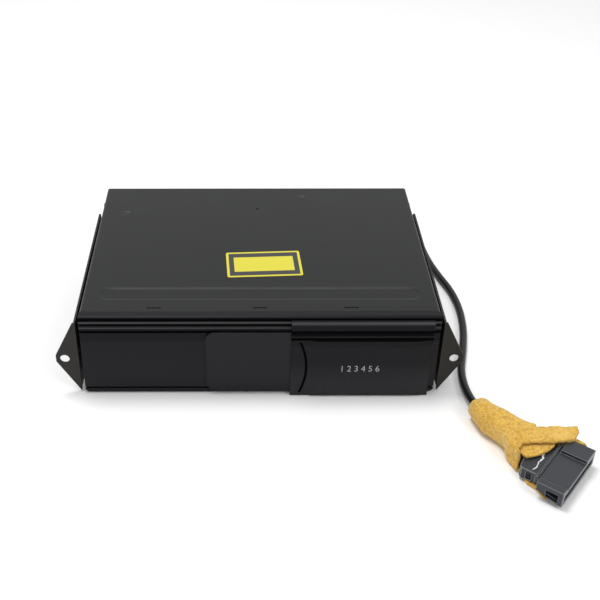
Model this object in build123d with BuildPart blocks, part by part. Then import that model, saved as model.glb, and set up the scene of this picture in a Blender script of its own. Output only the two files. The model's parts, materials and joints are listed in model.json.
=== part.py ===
"""Six-disc changer for a car, with its brackets and its data lead.

Millimetres. +X is to the right of the doors, +Y goes in through the doors and +Z is up.
The origin is at the bottom centre of the changer without its lead, so z = 0 is the surface
that it stands on.
"""

import os
from math import cos, pi, radians, sin, tan

from build123d import *

os.makedirs("parts", exist_ok=True)

# ---------------------------------------------------------------- driving sizes
case_width = 258.0
case_depth = 193.0
case_height = 67.5
foot_height = 1.1  # stamped feet below the floor plate
sheet = 1.0  # steel sheet of the case
gap = 0.3  # room between pieces that lie or slide beside each other
shaft_clearance = 0.05  # radial room of a shaft in its bore

fascia_depth = 7.3
fascia_wall = 2.2
panel_step = 0.4  # the panel lies this far behind the two ridges
cover_skirt = 42.0
cover_bend = 2.2  # outside radius of the bends along the cover's sides

door_proud = 4.5  # how far the outer door stands in front of the fascia
door_left = 22.4
door_right = 124.0
leaf_left = -38.9
leaf_right = 36.0
leaf_wall = 1.35

disc_diameter = 120.0
disc_thickness = 1.2
disc_hole = 15.0
disc_count = 6
disc_pitch = 5.6

magazine_width = 126.0
magazine_depth = 131.0
magazine_height = 38.0
magazine_wall = 1.5
magazine_margin = 4.0  # room between magazine and right wall, for the cradle
magazine_bottom = 11.0
magazine_setback = 8.25  # magazine face behind the fascia's front plane
tray_height = 3.0
tray_floor = 1.2

bracket_offset = 2.8  # spacer between case and bracket
bracket_sheet = 1.5
bracket_back = 68.5
ear_reach = 148.4
ear_hole_x = 142.0
ear_hole_z = 30.3
ear_hole_diameter = 7.0

cable_diameter = 6.0

# ---------------------------------------------------------------- places that follow
half_width = case_width / 2
door_front = -(case_depth + door_proud) / 2
fascia_front = door_front + door_proud
rear = -door_front
base = foot_height
top = base + case_height
fascia_back = fascia_front + fascia_depth
floor_top = base + sheet
chassis_side = half_width - sheet - gap
chassis_inner = chassis_side - sheet
chassis_top = top - sheet - gap
chassis_front = fascia_back + gap
chassis_back = rear - sheet

magazine_right = chassis_inner - magazine_margin
magazine_left = magazine_right - magazine_width
magazine_front = fascia_front + magazine_setback
magazine_back = magazine_front + magazine_depth
magazine_top = magazine_bottom + magazine_height
tray_left = magazine_left + gap
tray_right = magazine_right - magazine_wall - gap
tray_front = magazine_front + magazine_wall + gap
tray_back = magazine_back - magazine_wall - gap
first_tray = magazine_bottom + magazine_wall + gap
disc_radius = disc_diameter / 2
disc_x = (tray_left + tray_right) / 2
disc_y = (tray_front + tray_back) / 2
first_disc = first_tray + tray_floor + 0.1
play_x = -(chassis_inner - disc_radius - 0.7)
lift_travel = disc_pitch * (disc_count - 1)


def block(x0, x1, y0, y1, z0, z1, mode=Mode.ADD):
    """Add a square block between two corners to the part being built."""
    with Locations(((x0 + x1) / 2, (y0 + y1) / 2, (z0 + z1) / 2)):
        Box(x1 - x0, y1 - y0, z1 - z0, mode=mode)


def rod(x, y, z, radius, length, turn=(0, 0, 0), mode=Mode.ADD):
    """Add a round bar that starts at a point and runs along +Z, turned by three angles."""
    with Locations(Location((x, y, z), turn)):
        Cylinder(radius, length, align=(Align.CENTER, Align.CENTER, Align.MIN), mode=mode)


def save(part, name):
    """Label a finished piece and write it."""
    part.label = name
    export_step(part, f"parts/{name}.step")


TO_RIGHT = (0, 90, 0)
TO_LEFT = (0, -90, 0)
TO_BACK = (-90, 0, 0)
TO_FRONT = (90, 0, 0)

# ---------------------------------------------------------------- chassis
bracket_screw_radius = 2.0
bracket_screw_z = 32.0
bracket_screw_places = [(fascia_front + 34.25, bracket_screw_z), (bracket_back - 36.0, bracket_screw_z)]
cover_screw_radius = 1.5
cover_screw_y = rear - 16.75
cover_screw_places = [(cover_screw_y, 40.0), (cover_screw_y, 60.0)]
foot_radius = 7.0
foot_x = half_width - 27.5
foot_places = [(x, y) for x in (-foot_x, foot_x) for y in (fascia_front + 24.25, rear - 18.75)]
pin_radius = 1.5
pin_slot = 2 * pin_radius + 0.3
pin_z = 13.0
mech_right = magazine_left - 11.7  # right edge of the lifting gear, clear of the eject link
pin_right = mech_right - 32.5
pin_spacing = 41.0
pin_places = (pin_right - pin_spacing, pin_right)
board_right = magazine_right - 5.2
cable_x = board_right - 39.0
cable_z = 18.0
gland_neck = 5.0
front_wall_top = 56.0
top_screw = (38.5, rear - 15.35)
link_width = 4.0
link_left = magazine_left - 9.7
link_right = link_left + link_width
link_low = 9.2
link_high = 12.2
link_guide_length = 6.0
link_guide_wall = 1.0
link_guide_places = (magazine_front + 36.0, magazine_front + 106.0)

with BuildPart() as chassis_base:
    block(-chassis_side, chassis_side, chassis_front, rear, base, floor_top)
    for side in (-1, 1):
        inner, outer = sorted((side * chassis_inner, side * chassis_side))
        block(inner, outer, chassis_front, rear, base, chassis_top)
    block(-chassis_side, chassis_side, chassis_back, rear, base, chassis_top)
    block(-chassis_side, mech_right, chassis_front, chassis_front + sheet, base, front_wall_top)
    for x, y in foot_places:
        rod(x, y, 0, foot_radius, base)
    for x in pin_places:
        with BuildSketch(Plane.XZ.offset(-chassis_front)) as guide_slot:
            with Locations((x, pin_z + lift_travel / 2)):
                SlotCenterToCenter(lift_travel, pin_slot, rotation=90)
        extrude(amount=-sheet, mode=Mode.SUBTRACT)
    for y, z in bracket_screw_places:
        rod(
            -half_width, y, z, bracket_screw_radius + shaft_clearance, case_width, TO_RIGHT,
            Mode.SUBTRACT,
        )
    for y, z in cover_screw_places:
        rod(
            -half_width, y, z, cover_screw_radius + shaft_clearance, case_width, TO_RIGHT,
            Mode.SUBTRACT,
        )
    rod(cable_x, chassis_back - 1, cable_z, gland_neck + gap / 2, 5, TO_BACK, Mode.SUBTRACT)
    # Tab for the screw in the top cover, bent from the rear wall.
    block(top_screw[0] - 8, top_screw[0] + 8, top_screw[1] - 6, chassis_back, chassis_top - 2, chassis_top)
    rod(*top_screw, chassis_top - 3, cover_screw_radius + shaft_clearance, 4, mode=Mode.SUBTRACT)
    # Loops that the eject link slides in.
    for y in link_guide_places:
        block(
            link_left - gap - link_guide_wall, link_right + gap + link_guide_wall,
            y, y + link_guide_length, floor_top, link_high,
        )
        block(
            link_left - gap, link_right + gap, y, y + link_guide_length,
            link_low - gap, link_high, Mode.SUBTRACT,
        )
save(chassis_base.part, "chassis_base")

# ---------------------------------------------------------------- top cover
clip_y = fascia_back + 4.9
clip_places = (-76.1, 0.1, 65.8)
clip_width = 10.0
clip_slot = 1.4
step_width = 235.0
step_length = 16.0
step_y = fascia_back + 23.2
pry_hole = (0.1, 62.75)

with BuildPart() as top_cover:
    with BuildSketch(Plane.XZ.offset(-fascia_back - gap / 2)) as cover_section:
        with Locations((0, top - cover_skirt / 2)):
            RectangleRounded(case_width, cover_skirt, cover_bend)
        with Locations((0, top - cover_skirt / 2 - sheet)):
            RectangleRounded(case_width - 2 * sheet, cover_skirt, cover_bend - sheet - gap, mode=Mode.SUBTRACT)
        with Locations((0, top - cover_skirt)):
            Rectangle(case_width, 4, mode=Mode.SUBTRACT)
    extrude(amount=-(rear - fascia_back - gap / 2))
    with BuildSketch(Plane.XY.offset(top)) as cover_step:
        with Locations((0.5, step_y)):
            RectangleRounded(step_width, step_length, step_length / 2 - 0.5)
    extrude(amount=-0.4, mode=Mode.SUBTRACT)
    with BuildSketch(Plane.XY.offset(top)) as cover_slots:
        with Locations([(x, clip_y) for x in clip_places]):
            Rectangle(clip_width, clip_slot)
        with Locations(pry_hole):
            Circle(1.0)
        with Locations(top_screw):
            Circle(cover_screw_radius + shaft_clearance)
    extrude(amount=-sheet, mode=Mode.SUBTRACT)
    for y, z in bracket_screw_places:
        rod(-half_width, y, z, bracket_screw_radius + 0.3, case_width, TO_RIGHT, Mode.SUBTRACT)
    for y, z in cover_screw_places:
        rod(-half_width, y, z, cover_screw_radius + 0.2, case_width, TO_RIGHT, Mode.SUBTRACT)
save(top_cover.part, "top_cover")

cover_screw_head = 3.0
with BuildPart() as cover_screws:
    for side, turn in ((-1, TO_LEFT), (1, TO_RIGHT)):
        for y, z in cover_screw_places:
            rod(side * half_width, y, z, cover_screw_head, 1.6, turn)
            rod(side * (half_width - 6), y, z, cover_screw_radius, 6, turn)
    rod(*top_screw, top, cover_screw_head, 0.1)
    rod(*top_screw, top - 5, cover_screw_radius, 5)
save(cover_screws.part, "cover_screws")

label_width = 57.0
label_length = 35.0
label_place = (4.0, -23.4)
label_turn = 3.0
label_thickness = 0.15
with BuildPart() as top_label:
    with BuildSketch(Plane.XY.offset(top)) as label_outline:
        with Locations(label_place):
            Rectangle(label_width, label_length, rotation=label_turn)
    extrude(amount=label_thickness)
save(top_label.part, "top_label")

# ---------------------------------------------------------------- fascia
rail_depth = 4.6
rail_height = 7.5
rail_web = 2.0
nose_radius = 3.0
corner_radius = 3.5
groove_mouth = 1.5  # depth of a groove's narrow mouth
toe = 1.0  # thickness of the hooked edges of door and leaf
hook_room = 0.25  # running room round a hook
door_rib_z = 62.15  # centre of the rib that the door hangs by
door_rib = 1.0
door_toe_height = 4.0
leaf_slot_floor = 54.9
leaf_slot_height = 1.8
leaf_toe_rise = 3.3
leaf_sill = 5.8
leaf_sill_height = 1.5
leaf_sill_depth = 2.6
door_toe_y = fascia_front + 4.4
door_toe_rise = 2.3
opening_margin = 0.6
button_x = -17.0
button_z = 30.0
button_width = 9.0
button_height = 14.0
clip_tab = 8.0
clip_hook = 0.9

chamber_front = fascia_front + groove_mouth
chamber_back = chamber_front + toe + 2 * hook_room
door_slot_low = door_rib_z - door_rib / 2 - hook_room
door_slot_high = door_rib_z + door_rib / 2 + hook_room
door_room_low = door_rib_z - door_toe_height / 2 - hook_room
door_room_high = door_rib_z + door_toe_height / 2 + hook_room
leaf_slot_top = leaf_slot_floor + leaf_slot_height
leaf_room_top = leaf_slot_floor + leaf_toe_rise
leaf_sill_low = leaf_sill - leaf_sill_height
leaf_sill_room = leaf_sill - leaf_sill_depth
tab_low = chassis_top - 2.0

with BuildPart() as front_fascia:
    with BuildSketch(Plane.YZ.offset(-half_width)) as fascia_section:
        with BuildLine() as fascia_outline:
            Polyline(
                (fascia_front + nose_radius, top),
                (fascia_back, top),
                (fascia_back, base),
                (fascia_front + panel_step, base),
                (fascia_front + panel_step, leaf_slot_floor),
                (fascia_front, leaf_slot_floor + leaf_slot_height),
                (fascia_front, top - nose_radius),
            )
            RadiusArc((fascia_front, top - nose_radius), (fascia_front + nose_radius, top), nose_radius)
        make_face()
    extrude(amount=case_width)
    fillet(front_fascia.edges().filter_by(Axis.Y).group_by(Axis.Z)[0], corner_radius)
    with BuildSketch(Plane.XZ.offset(-fascia_back)) as fascia_hollow:
        with Locations((0, (base + rail_height + leaf_slot_floor - rail_web) / 2)):
            Rectangle(case_width - 2 * fascia_wall, leaf_slot_floor - rail_web - base - rail_height)
    extrude(amount=fascia_depth - panel_step - fascia_wall, mode=Mode.SUBTRACT)
    with BuildSketch(Plane.XZ.offset(-fascia_back)) as rail_hollow:
        with Locations((0, (top - fascia_wall + leaf_slot_floor + 1) / 2)):
            Rectangle(case_width - 2 * fascia_wall, top - fascia_wall - leaf_slot_floor - 1)
    extrude(amount=fascia_depth - rail_depth, mode=Mode.SUBTRACT)
    # Grooves that the door and the leaf hang in, each with a wider chamber behind its mouth.
    block(-half_width, half_width, fascia_front, chamber_front, door_slot_low, door_slot_high, Mode.SUBTRACT)
    block(-half_width, half_width, chamber_front, chamber_back, door_room_low, door_room_high, Mode.SUBTRACT)
    block(-half_width, half_width, fascia_front, chamber_front, leaf_slot_floor, leaf_slot_top, Mode.SUBTRACT)
    block(-half_width, half_width, chamber_front, chamber_back, leaf_slot_floor, leaf_room_top, Mode.SUBTRACT)
    block(-half_width, half_width, fascia_front, chamber_front, leaf_sill_low, leaf_sill, Mode.SUBTRACT)
    block(-half_width, half_width, chamber_front, chamber_back, leaf_sill_room, leaf_sill, Mode.SUBTRACT)
    block(
        -half_width, half_width,
        door_toe_y - gap, door_toe_y + toe + gap,
        base, base + door_toe_rise, Mode.SUBTRACT,
    )
    # Mouth for the magazine, hole for the eject button and corners.
    block(
        magazine_left - opening_margin, magazine_right + opening_margin,
        fascia_front, fascia_back,
        magazine_bottom - opening_margin, magazine_top + opening_margin, Mode.SUBTRACT,
    )
    block(
        button_x - button_width / 2 - gap, button_x + button_width / 2 + gap,
        fascia_front, fascia_back,
        button_z - button_height / 2 - gap, button_z + button_height / 2 + gap, Mode.SUBTRACT,
    )
    for x in clip_places:
        block(x - clip_tab / 2, x + clip_tab / 2, fascia_back, clip_y + clip_hook / 2, tab_low, chassis_top)
        block(
            x - clip_tab / 2, x + clip_tab / 2, clip_y - clip_hook / 2, clip_y + clip_hook / 2,
            chassis_top, top - gap,
        )
save(front_fascia.part, "front_fascia")

# ---------------------------------------------------------------- outer door and inner leaf
door_back = fascia_front - gap - leaf_wall - gap
door_low_wall = 1.2
door_low_front = door_back - door_low_wall
door_lip_low = 0.25
door_lip_high = base - hook_room
door_corner = 1.0
bead_top = 66.7
bead_bottom = 55.6
bead_front = door_front + 0.35
shelf_z = 54.9
panel_top_z = 50.9
grip_right = 36.0
panel_left = 41.0
panel_right = 112.0
grip_radius = 58.0
grip_line = 0.8
pocket_margin = 3.0

with BuildPart() as outer_door:
    with BuildSketch(Plane.YZ.offset(door_left)) as door_section:
        with BuildLine() as door_outline:
            Polyline(
                (door_back + 1.2, bead_top),
                (door_back + 1.2, door_rib_z + 1.6),
                (door_back, door_rib_z + door_rib / 2),
                (chamber_front + hook_room, door_rib_z + door_rib / 2),
                (chamber_front + hook_room, door_rib_z + door_toe_height / 2),
                (chamber_front + hook_room + toe, door_rib_z + door_toe_height / 2),
                (chamber_front + hook_room + toe, door_rib_z - door_toe_height / 2),
                (chamber_front + hook_room, door_rib_z - door_toe_height / 2),
                (chamber_front + hook_room, door_rib_z - door_rib / 2),
                (door_back, door_rib_z - door_rib / 2),
                (door_back, door_lip_high),
                (door_toe_y, door_lip_high),
                (door_toe_y, base + door_toe_rise - hook_room),
                (door_toe_y + toe, base + door_toe_rise - hook_room),
                (door_toe_y + toe, door_lip_low),
                (door_front + door_corner, door_lip_low),
                (door_front, door_lip_low + door_corner),
                (door_front, panel_top_z),
                (door_front + 0.3, shelf_z),
                (door_low_front + 0.3, bead_bottom),
            )
            ThreePointArc(
                (door_low_front + 0.3, bead_bottom),
                (bead_front, (bead_top + bead_bottom) / 2 + 0.8),
                (door_back + 1.2, bead_top),
            )
        make_face()
    extrude(amount=door_right - door_left)
    with BuildSketch(Plane.XY.offset(panel_top_z + 1)) as door_relief:
        with BuildLine() as grip_relief:
            Polyline(
                (door_left, door_front),
                (panel_left, door_front),
                (grip_right, door_low_front),
                (door_left, door_low_front),
                close=True,
            )
        make_face()
        with BuildLine() as end_relief:
            Polyline(
                (panel_right, door_front),
                (door_right, door_front),
                (door_right, door_low_front),
                (door_right - 3, door_low_front),
                close=True,
            )
        make_face()
    extrude(amount=-panel_top_z - 1, mode=Mode.SUBTRACT)
    with BuildSketch(Plane.XZ.offset(-door_low_front)) as grip_groove:
        with Locations((grip_right - 2.2 - grip_radius, 26)):
            Circle(grip_radius + grip_line / 2)
            Circle(grip_radius - grip_line / 2, mode=Mode.SUBTRACT)
        with Locations(((door_left + panel_left) / 2, 26)):
            Rectangle(panel_left - door_left, 46, mode=Mode.INTERSECT)
    extrude(amount=-0.5, mode=Mode.SUBTRACT)
    block(
        panel_left + pocket_margin, panel_right - pocket_margin, door_low_front, door_back,
        leaf_sill, panel_top_z - pocket_margin, Mode.SUBTRACT,
    )
save(outer_door.part, "outer_door")

leaf_back = fascia_front - gap
leaf_bottom = 3.0
leaf_top = leaf_slot_top - hook_room
leaf_corner = 6.0
leaf_low_corner = 9.0
leaf_lip = leaf_slot_floor + hook_room
with BuildPart() as inner_door:
    with BuildSketch(Plane.XZ.offset(-leaf_back)) as leaf_outline:
        with Locations(((leaf_left + leaf_right) / 2, (leaf_bottom + leaf_top) / 2)):
            Rectangle(leaf_right - leaf_left, leaf_top - leaf_bottom)
        fillet(leaf_outline.vertices().group_by(Axis.X)[0].sort_by(Axis.Y)[-1], leaf_corner)
        fillet(leaf_outline.vertices().group_by(Axis.Y)[0].sort_by(Axis.X)[0], leaf_low_corner)
    extrude(amount=leaf_wall)
    hook_left = leaf_left + leaf_low_corner + 1
    hook_back = chamber_front + hook_room + toe
    block(hook_left, leaf_right, leaf_back, hook_back, leaf_lip, leaf_top)
    block(hook_left, leaf_right, hook_back - toe, hook_back, leaf_lip, leaf_room_top - hook_room)
    block(hook_left, leaf_right, leaf_back, hook_back, leaf_sill_low + hook_room, leaf_sill - hook_room)
    block(hook_left, leaf_right, hook_back - toe, hook_back, leaf_sill_room + hook_room, leaf_sill - hook_room)
save(inner_door.part, "inner_door")

# ---------------------------------------------------------------- brackets
plate_inner = half_width + bracket_offset
plate_outer = plate_inner + bracket_sheet
ear_front = fascia_front + 2.25
ear_top = 61.8
ear_bottom = 1.0
ear_tip_high = 33.4
ear_tip_low = 28.0
ear_corner = 2.5
plate_corner = 2.0
plate_drop = 12.0
spacer_radius = 6.0
screw_head_radius = 4.0
screw_head = 1.6

with BuildPart() as left_bracket:
    with BuildSketch(Plane.XZ.offset(-ear_front)) as ear:
        with BuildLine() as ear_outline:
            Polyline(
                (-plate_inner, ear_bottom),
                (-plate_inner, ear_top),
                (-plate_outer - 0.8, ear_top),
                (-ear_reach, ear_tip_high),
                (-ear_reach, ear_tip_low),
                (-plate_inner - 0.5, ear_bottom),
                close=True,
            )
        make_face()
        fillet(ear.vertices().group_by(Axis.X)[0], ear_corner)
        with Locations((-ear_hole_x, ear_hole_z)):
            Circle(ear_hole_diameter / 2, mode=Mode.SUBTRACT)
    extrude(amount=-bracket_sheet)
    with BuildSketch(Plane.YZ.offset(-plate_outer)) as side_plate:
        with BuildLine() as plate_outline:
            Polyline(
                (ear_front, ear_bottom + 2),
                (ear_front, ear_top),
                (bracket_back - plate_corner, ear_top),
                (bracket_back, ear_top - plate_corner),
                (bracket_back, ear_bottom + 2 + plate_drop),
                (bracket_back - plate_drop, ear_bottom + 2),
                close=True,
            )
        make_face()
        with Locations(bracket_screw_places):
            Circle(bracket_screw_radius + 0.2, mode=Mode.SUBTRACT)
    extrude(amount=bracket_sheet)
save(left_bracket.part, "left_bracket")

with BuildPart() as right_bracket:
    mirror(left_bracket.part, about=Plane.YZ)
save(right_bracket.part, "right_bracket")

with BuildPart() as bracket_spacers:
    for side, turn in ((-1, TO_LEFT), (1, TO_RIGHT)):
        for y, z in bracket_screw_places:
            rod(side * half_width, y, z, spacer_radius, bracket_offset, turn)
            rod(
                side * half_width, y, z, bracket_screw_radius + 0.2, bracket_offset, turn, Mode.SUBTRACT
            )
save(bracket_spacers.part, "bracket_spacers")

nut_width = 7.0
nut_height = 2.2
nut_face = chassis_inner
with BuildPart() as bracket_screws:
    for side, turn in ((-1, TO_LEFT), (1, TO_RIGHT)):
        for y, z in bracket_screw_places:
            rod(side * plate_outer, y, z, screw_head_radius, screw_head, turn)
            rod(
                side * (nut_face - nut_height), y, z, bracket_screw_radius,
                plate_outer - nut_face + nut_height, turn,
            )
save(bracket_screws.part, "bracket_screws")

with BuildPart() as bracket_nuts:
    for side in (-1, 1):
        for y, z in bracket_screw_places:
            with BuildSketch(Plane.YZ.offset(side * nut_face)) as nut:
                with Locations((y, z)):
                    RegularPolygon(nut_width / 2, 6, major_radius=False)
                    Circle(bracket_screw_radius + shaft_clearance, mode=Mode.SUBTRACT)
            extrude(amount=-side * nut_height)
save(bracket_nuts.part, "bracket_nuts")

# ---------------------------------------------------------------- magazine, trays and discs
ledge = 2.0
ledge_height = 1.0
tray_places = [first_tray + n * disc_pitch for n in range(disc_count)]
disc_places = [first_disc + n * disc_pitch for n in range(disc_count)]

with BuildPart() as magazine_case:
    block(magazine_left, magazine_right, magazine_front, magazine_back, magazine_bottom, magazine_top)
    block(
        magazine_left, magazine_right - magazine_wall,
        magazine_front + magazine_wall, magazine_back - magazine_wall,
        magazine_bottom + magazine_wall, magazine_top - magazine_wall, Mode.SUBTRACT,
    )
    for z in tray_places[1:]:
        block(
            magazine_left, magazine_right - magazine_wall / 2,
            magazine_front + magazine_wall / 2, tray_front + ledge,
            z - gap - ledge_height, z - gap,
        )
        block(
            magazine_left, magazine_right - magazine_wall / 2,
            tray_back - ledge, magazine_back - magazine_wall / 2,
            z - gap - ledge_height, z - gap,
        )
    with BuildSketch(Plane.XZ.offset(-magazine_front)) as thumb_grip:
        with Locations((disc_x, magazine_bottom + magazine_height / 2)):
            SlotOverall(60, 12)
    extrude(amount=-magazine_wall / 2, mode=Mode.SUBTRACT)
save(magazine_case.part, "magazine_case")

tray_mouth = 44.0
for number, z in enumerate(tray_places, start=1):
    with BuildPart() as tray:
        block(tray_left, tray_right, tray_front, tray_back, z, z + tray_height)
        rod(disc_x, disc_y, z + tray_floor, disc_radius + 0.6, tray_height, mode=Mode.SUBTRACT)
        rod(disc_x, disc_y, z, tray_mouth / 2, tray_floor, mode=Mode.SUBTRACT)
        block(
            tray_left, disc_x, disc_y - tray_mouth / 2, disc_y + tray_mouth / 2,
            z, z + tray_height, Mode.SUBTRACT,
        )
    save(tray.part, f"tray_{number}")

for number, z in enumerate(disc_places, start=1):
    with BuildPart() as disc:
        rod(disc_x, disc_y, z, disc_radius, disc_thickness)
        rod(disc_x, disc_y, z, disc_hole / 2, disc_thickness, mode=Mode.SUBTRACT)
    save(disc.part, f"disc_{number}")

cradle_sheet = 1.3
cradle_top = magazine_bottom - gap
cradle_back = magazine_back + 1.5
with BuildPart() as magazine_cradle:
    block(
        magazine_left, magazine_right + gap + cradle_sheet, magazine_front + 1, cradle_back,
        cradle_top - cradle_sheet, cradle_top,
    )
    block(
        magazine_left, magazine_left + cradle_sheet, magazine_front + 1, cradle_back, floor_top, cradle_top
    )
    block(
        magazine_right + gap, magazine_right + gap + cradle_sheet, magazine_front + 1, cradle_back,
        floor_top, magazine_top + gap + cradle_sheet,
    )
    block(
        magazine_right - 8, magazine_right + gap + cradle_sheet, magazine_front + 1, cradle_back,
        magazine_top + gap, magazine_top + gap + cradle_sheet,
    )
save(magazine_cradle.part, "magazine_cradle")

# ---------------------------------------------------------------- eject button and its link
button_travel = 2.5
button_front = fascia_front + panel_step
button_collar = fascia_front + panel_step + fascia_wall + gap
button_back = chassis_front - button_travel - 2 * gap
link_back = magazine_back - 5

with BuildPart() as eject_button:
    block(
        button_x - button_width / 2, button_x + button_width / 2, button_front, button_back,
        button_z - button_height / 2, button_z + button_height / 2,
    )
    fillet(eject_button.edges().filter_by(Axis.Y), 1.5)
    block(
        button_x - button_width / 2 - 1, button_x + button_width / 2 + 1, button_collar, button_back,
        button_z - button_height / 2 - 1, button_z + button_height / 2 + 1,
    )
save(eject_button.part, "eject_button")

with BuildPart() as eject_link:
    block(link_left, link_right, button_collar, button_back, link_low, button_z - button_height / 2 - 1)
    block(link_left, link_right, button_collar, link_back, link_low, link_high)
save(eject_link.part, "eject_link")

# ---------------------------------------------------------------- lifting slide and its drive
slide_sheet = 1.2
slide_front = chassis_front + sheet + gap
deck_front = slide_front + slide_sheet + gap
deck_depth = 128.0
deck_back = deck_front + deck_depth
slide_back = deck_back + gap + slide_sheet
slide_low = floor_top + gap
slide_high = slide_low + slide_sheet
slide_left = pin_places[0] - 5.0
slide_top = 45.0
bulkhead_front = max(slide_back, cradle_back) + gap
bulkhead_back = bulkhead_front + sheet
bulkhead_top = 60.0
module = 1.0
pinion_teeth = 12
wheel_teeth = 36
gear_x = (mech_right - chassis_inner) / 2 + 0.85
tail_left = gear_x - 8
tail_right = gear_x + lift_travel + 8
addendum = 0.85 * module
dedendum = 1.15 * module
tooth_at_tip = 0.55 * module
tooth_at_root = 1.95 * module
pinion_radius = pinion_teeth * module / 2
wheel_radius = wheel_teeth * module / 2
gear_y = (bulkhead_back + chassis_back) / 2 + 3.225
rack_line = gear_y - pinion_radius  # pitch line of the rack
motor_x = gear_x - pinion_radius - wheel_radius


def gear_points(teeth, first_tooth):
    """Outline of a spur gear, one tooth centred at the angle first_tooth in degrees."""
    points = []
    pitch_radius = teeth * module / 2
    for tooth in range(teeth):
        centre = radians(first_tooth + 360 * tooth / teeth)
        for radius, half in (
            (pitch_radius - dedendum, -tooth_at_root / 2),
            (pitch_radius + addendum, -tooth_at_tip / 2),
            (pitch_radius + addendum, tooth_at_tip / 2),
            (pitch_radius - dedendum, tooth_at_root / 2),
        ):
            angle = centre + half / radius
            points.append((radius * cos(angle), radius * sin(angle)))
    return points


with BuildPart() as lift_slide:
    block(slide_left, mech_right, slide_front, slide_back, slide_low, slide_high)
    for y in (slide_front, slide_back - slide_sheet):
        block(slide_left, mech_right, y, y + slide_sheet, slide_low, slide_top)
    for x in pin_places:
        with BuildSketch(Plane.XZ.offset(-slide_front)) as ramp:
            with Locations((x + lift_travel / 2, pin_z + lift_travel / 2)):
                SlotCenterToCenter(lift_travel * 2**0.5, pin_slot, rotation=45)
        extrude(amount=-(slide_back - slide_front), mode=Mode.SUBTRACT)
    with BuildSketch(Plane.XY.offset(slide_low)) as rack:
        with BuildLine() as rack_outline:
            points = [(tail_left, slide_back - slide_sheet), (tail_left, rack_line - dedendum)]
            pitch = pi * module
            gaps_left = int((gear_x - tail_left) / pitch)
            for tooth in range(-gaps_left, int((tail_right - gear_x) / pitch)):
                centre = gear_x + (tooth + 0.5) * pitch
                points += [
                    (centre - tooth_at_root / 2, rack_line - dedendum),
                    (centre - tooth_at_tip / 2, rack_line + addendum),
                    (centre + tooth_at_tip / 2, rack_line + addendum),
                    (centre + tooth_at_root / 2, rack_line - dedendum),
                ]
            points += [(tail_right, rack_line - dedendum), (tail_right, slide_back - slide_sheet)]
            Polyline(*points, close=True)
        make_face()
    extrude(amount=slide_sheet)
save(lift_slide.part, "lift_slide")

with BuildPart() as bulkhead:
    block(-chassis_inner, chassis_inner, bulkhead_front, bulkhead_back, floor_top, bulkhead_top)
    block(
        -chassis_inner, mech_right + 2, bulkhead_front, bulkhead_back,
        floor_top, slide_high + gap, Mode.SUBTRACT,
    )
    for x in pin_places:
        with BuildSketch(Plane.XZ.offset(-bulkhead_front)) as rear_guide_slot:
            with Locations((x, pin_z + lift_travel / 2)):
                SlotCenterToCenter(lift_travel, pin_slot, rotation=90)
        extrude(amount=-sheet, mode=Mode.SUBTRACT)
save(bulkhead.part, "bulkhead")

post_radius = 2.0
wheel_low = slide_high + 2.0
wheel_face = 3.0
motor_floor = wheel_low + wheel_face + 1.8
motor_bracket_sheet = 1.2
motor_seat = motor_floor + motor_bracket_sheet
motor_radius = 11.0
motor_height = 24.0
motor_shaft = 1.0
with BuildPart() as lift_gear:
    with BuildSketch(Plane.XY.offset(slide_low)) as lift_pinion_teeth:
        with Locations((gear_x, gear_y)):
            Polygon(*gear_points(pinion_teeth, -90), align=None)
    extrude(amount=wheel_low - slide_low)
    with BuildSketch(Plane.XY.offset(wheel_low)) as wheel_outline:
        with Locations((gear_x, gear_y)):
            Polygon(*gear_points(wheel_teeth, 180), align=None)
    extrude(amount=wheel_face)
    rod(gear_x, gear_y, slide_low, post_radius + shaft_clearance, 20, mode=Mode.SUBTRACT)
save(lift_gear.part, "lift_gear")

with BuildPart() as gear_post:
    rod(gear_x, gear_y, floor_top, post_radius, motor_floor - floor_top)
save(gear_post.part, "gear_post")

with BuildPart() as motor_pinion:
    with BuildSketch(Plane.XY.offset(wheel_low)) as motor_pinion_teeth:
        with Locations((motor_x, gear_y)):
            Polygon(*gear_points(pinion_teeth, 180 / pinion_teeth), align=None)
    extrude(amount=wheel_face)
    rod(motor_x, gear_y, wheel_low, motor_shaft, motor_seat + 6 - wheel_low)
save(motor_pinion.part, "motor_pinion")

bracket_leg_front = rack_line + 3
motor_bracket_left = motor_x - motor_radius - 5
motor_bracket_right = gear_x + wheel_radius + 4
motor_bracket_front = gear_y - motor_radius - 3
motor_bracket_back = gear_y + motor_radius + 3
with BuildPart() as motor_bracket:
    block(
        motor_bracket_left, motor_bracket_right, motor_bracket_front, motor_bracket_back,
        motor_floor, motor_seat,
    )
    for x in (motor_bracket_left, motor_bracket_right - motor_bracket_sheet):
        block(
            x, x + motor_bracket_sheet, bracket_leg_front, motor_bracket_back,
            floor_top, motor_floor,
        )
    rod(motor_x, gear_y, motor_floor, motor_shaft + 1.5, motor_bracket_sheet, mode=Mode.SUBTRACT)
save(motor_bracket.part, "motor_bracket")

with BuildPart() as lift_motor:
    rod(motor_x, gear_y, motor_seat, motor_radius, motor_height)
    fillet(lift_motor.edges().group_by(Axis.Z)[-1], 1.2)
    rod(motor_x, gear_y, motor_seat, motor_shaft + shaft_clearance, 8, mode=Mode.SUBTRACT)
save(lift_motor.part, "lift_motor")

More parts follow.
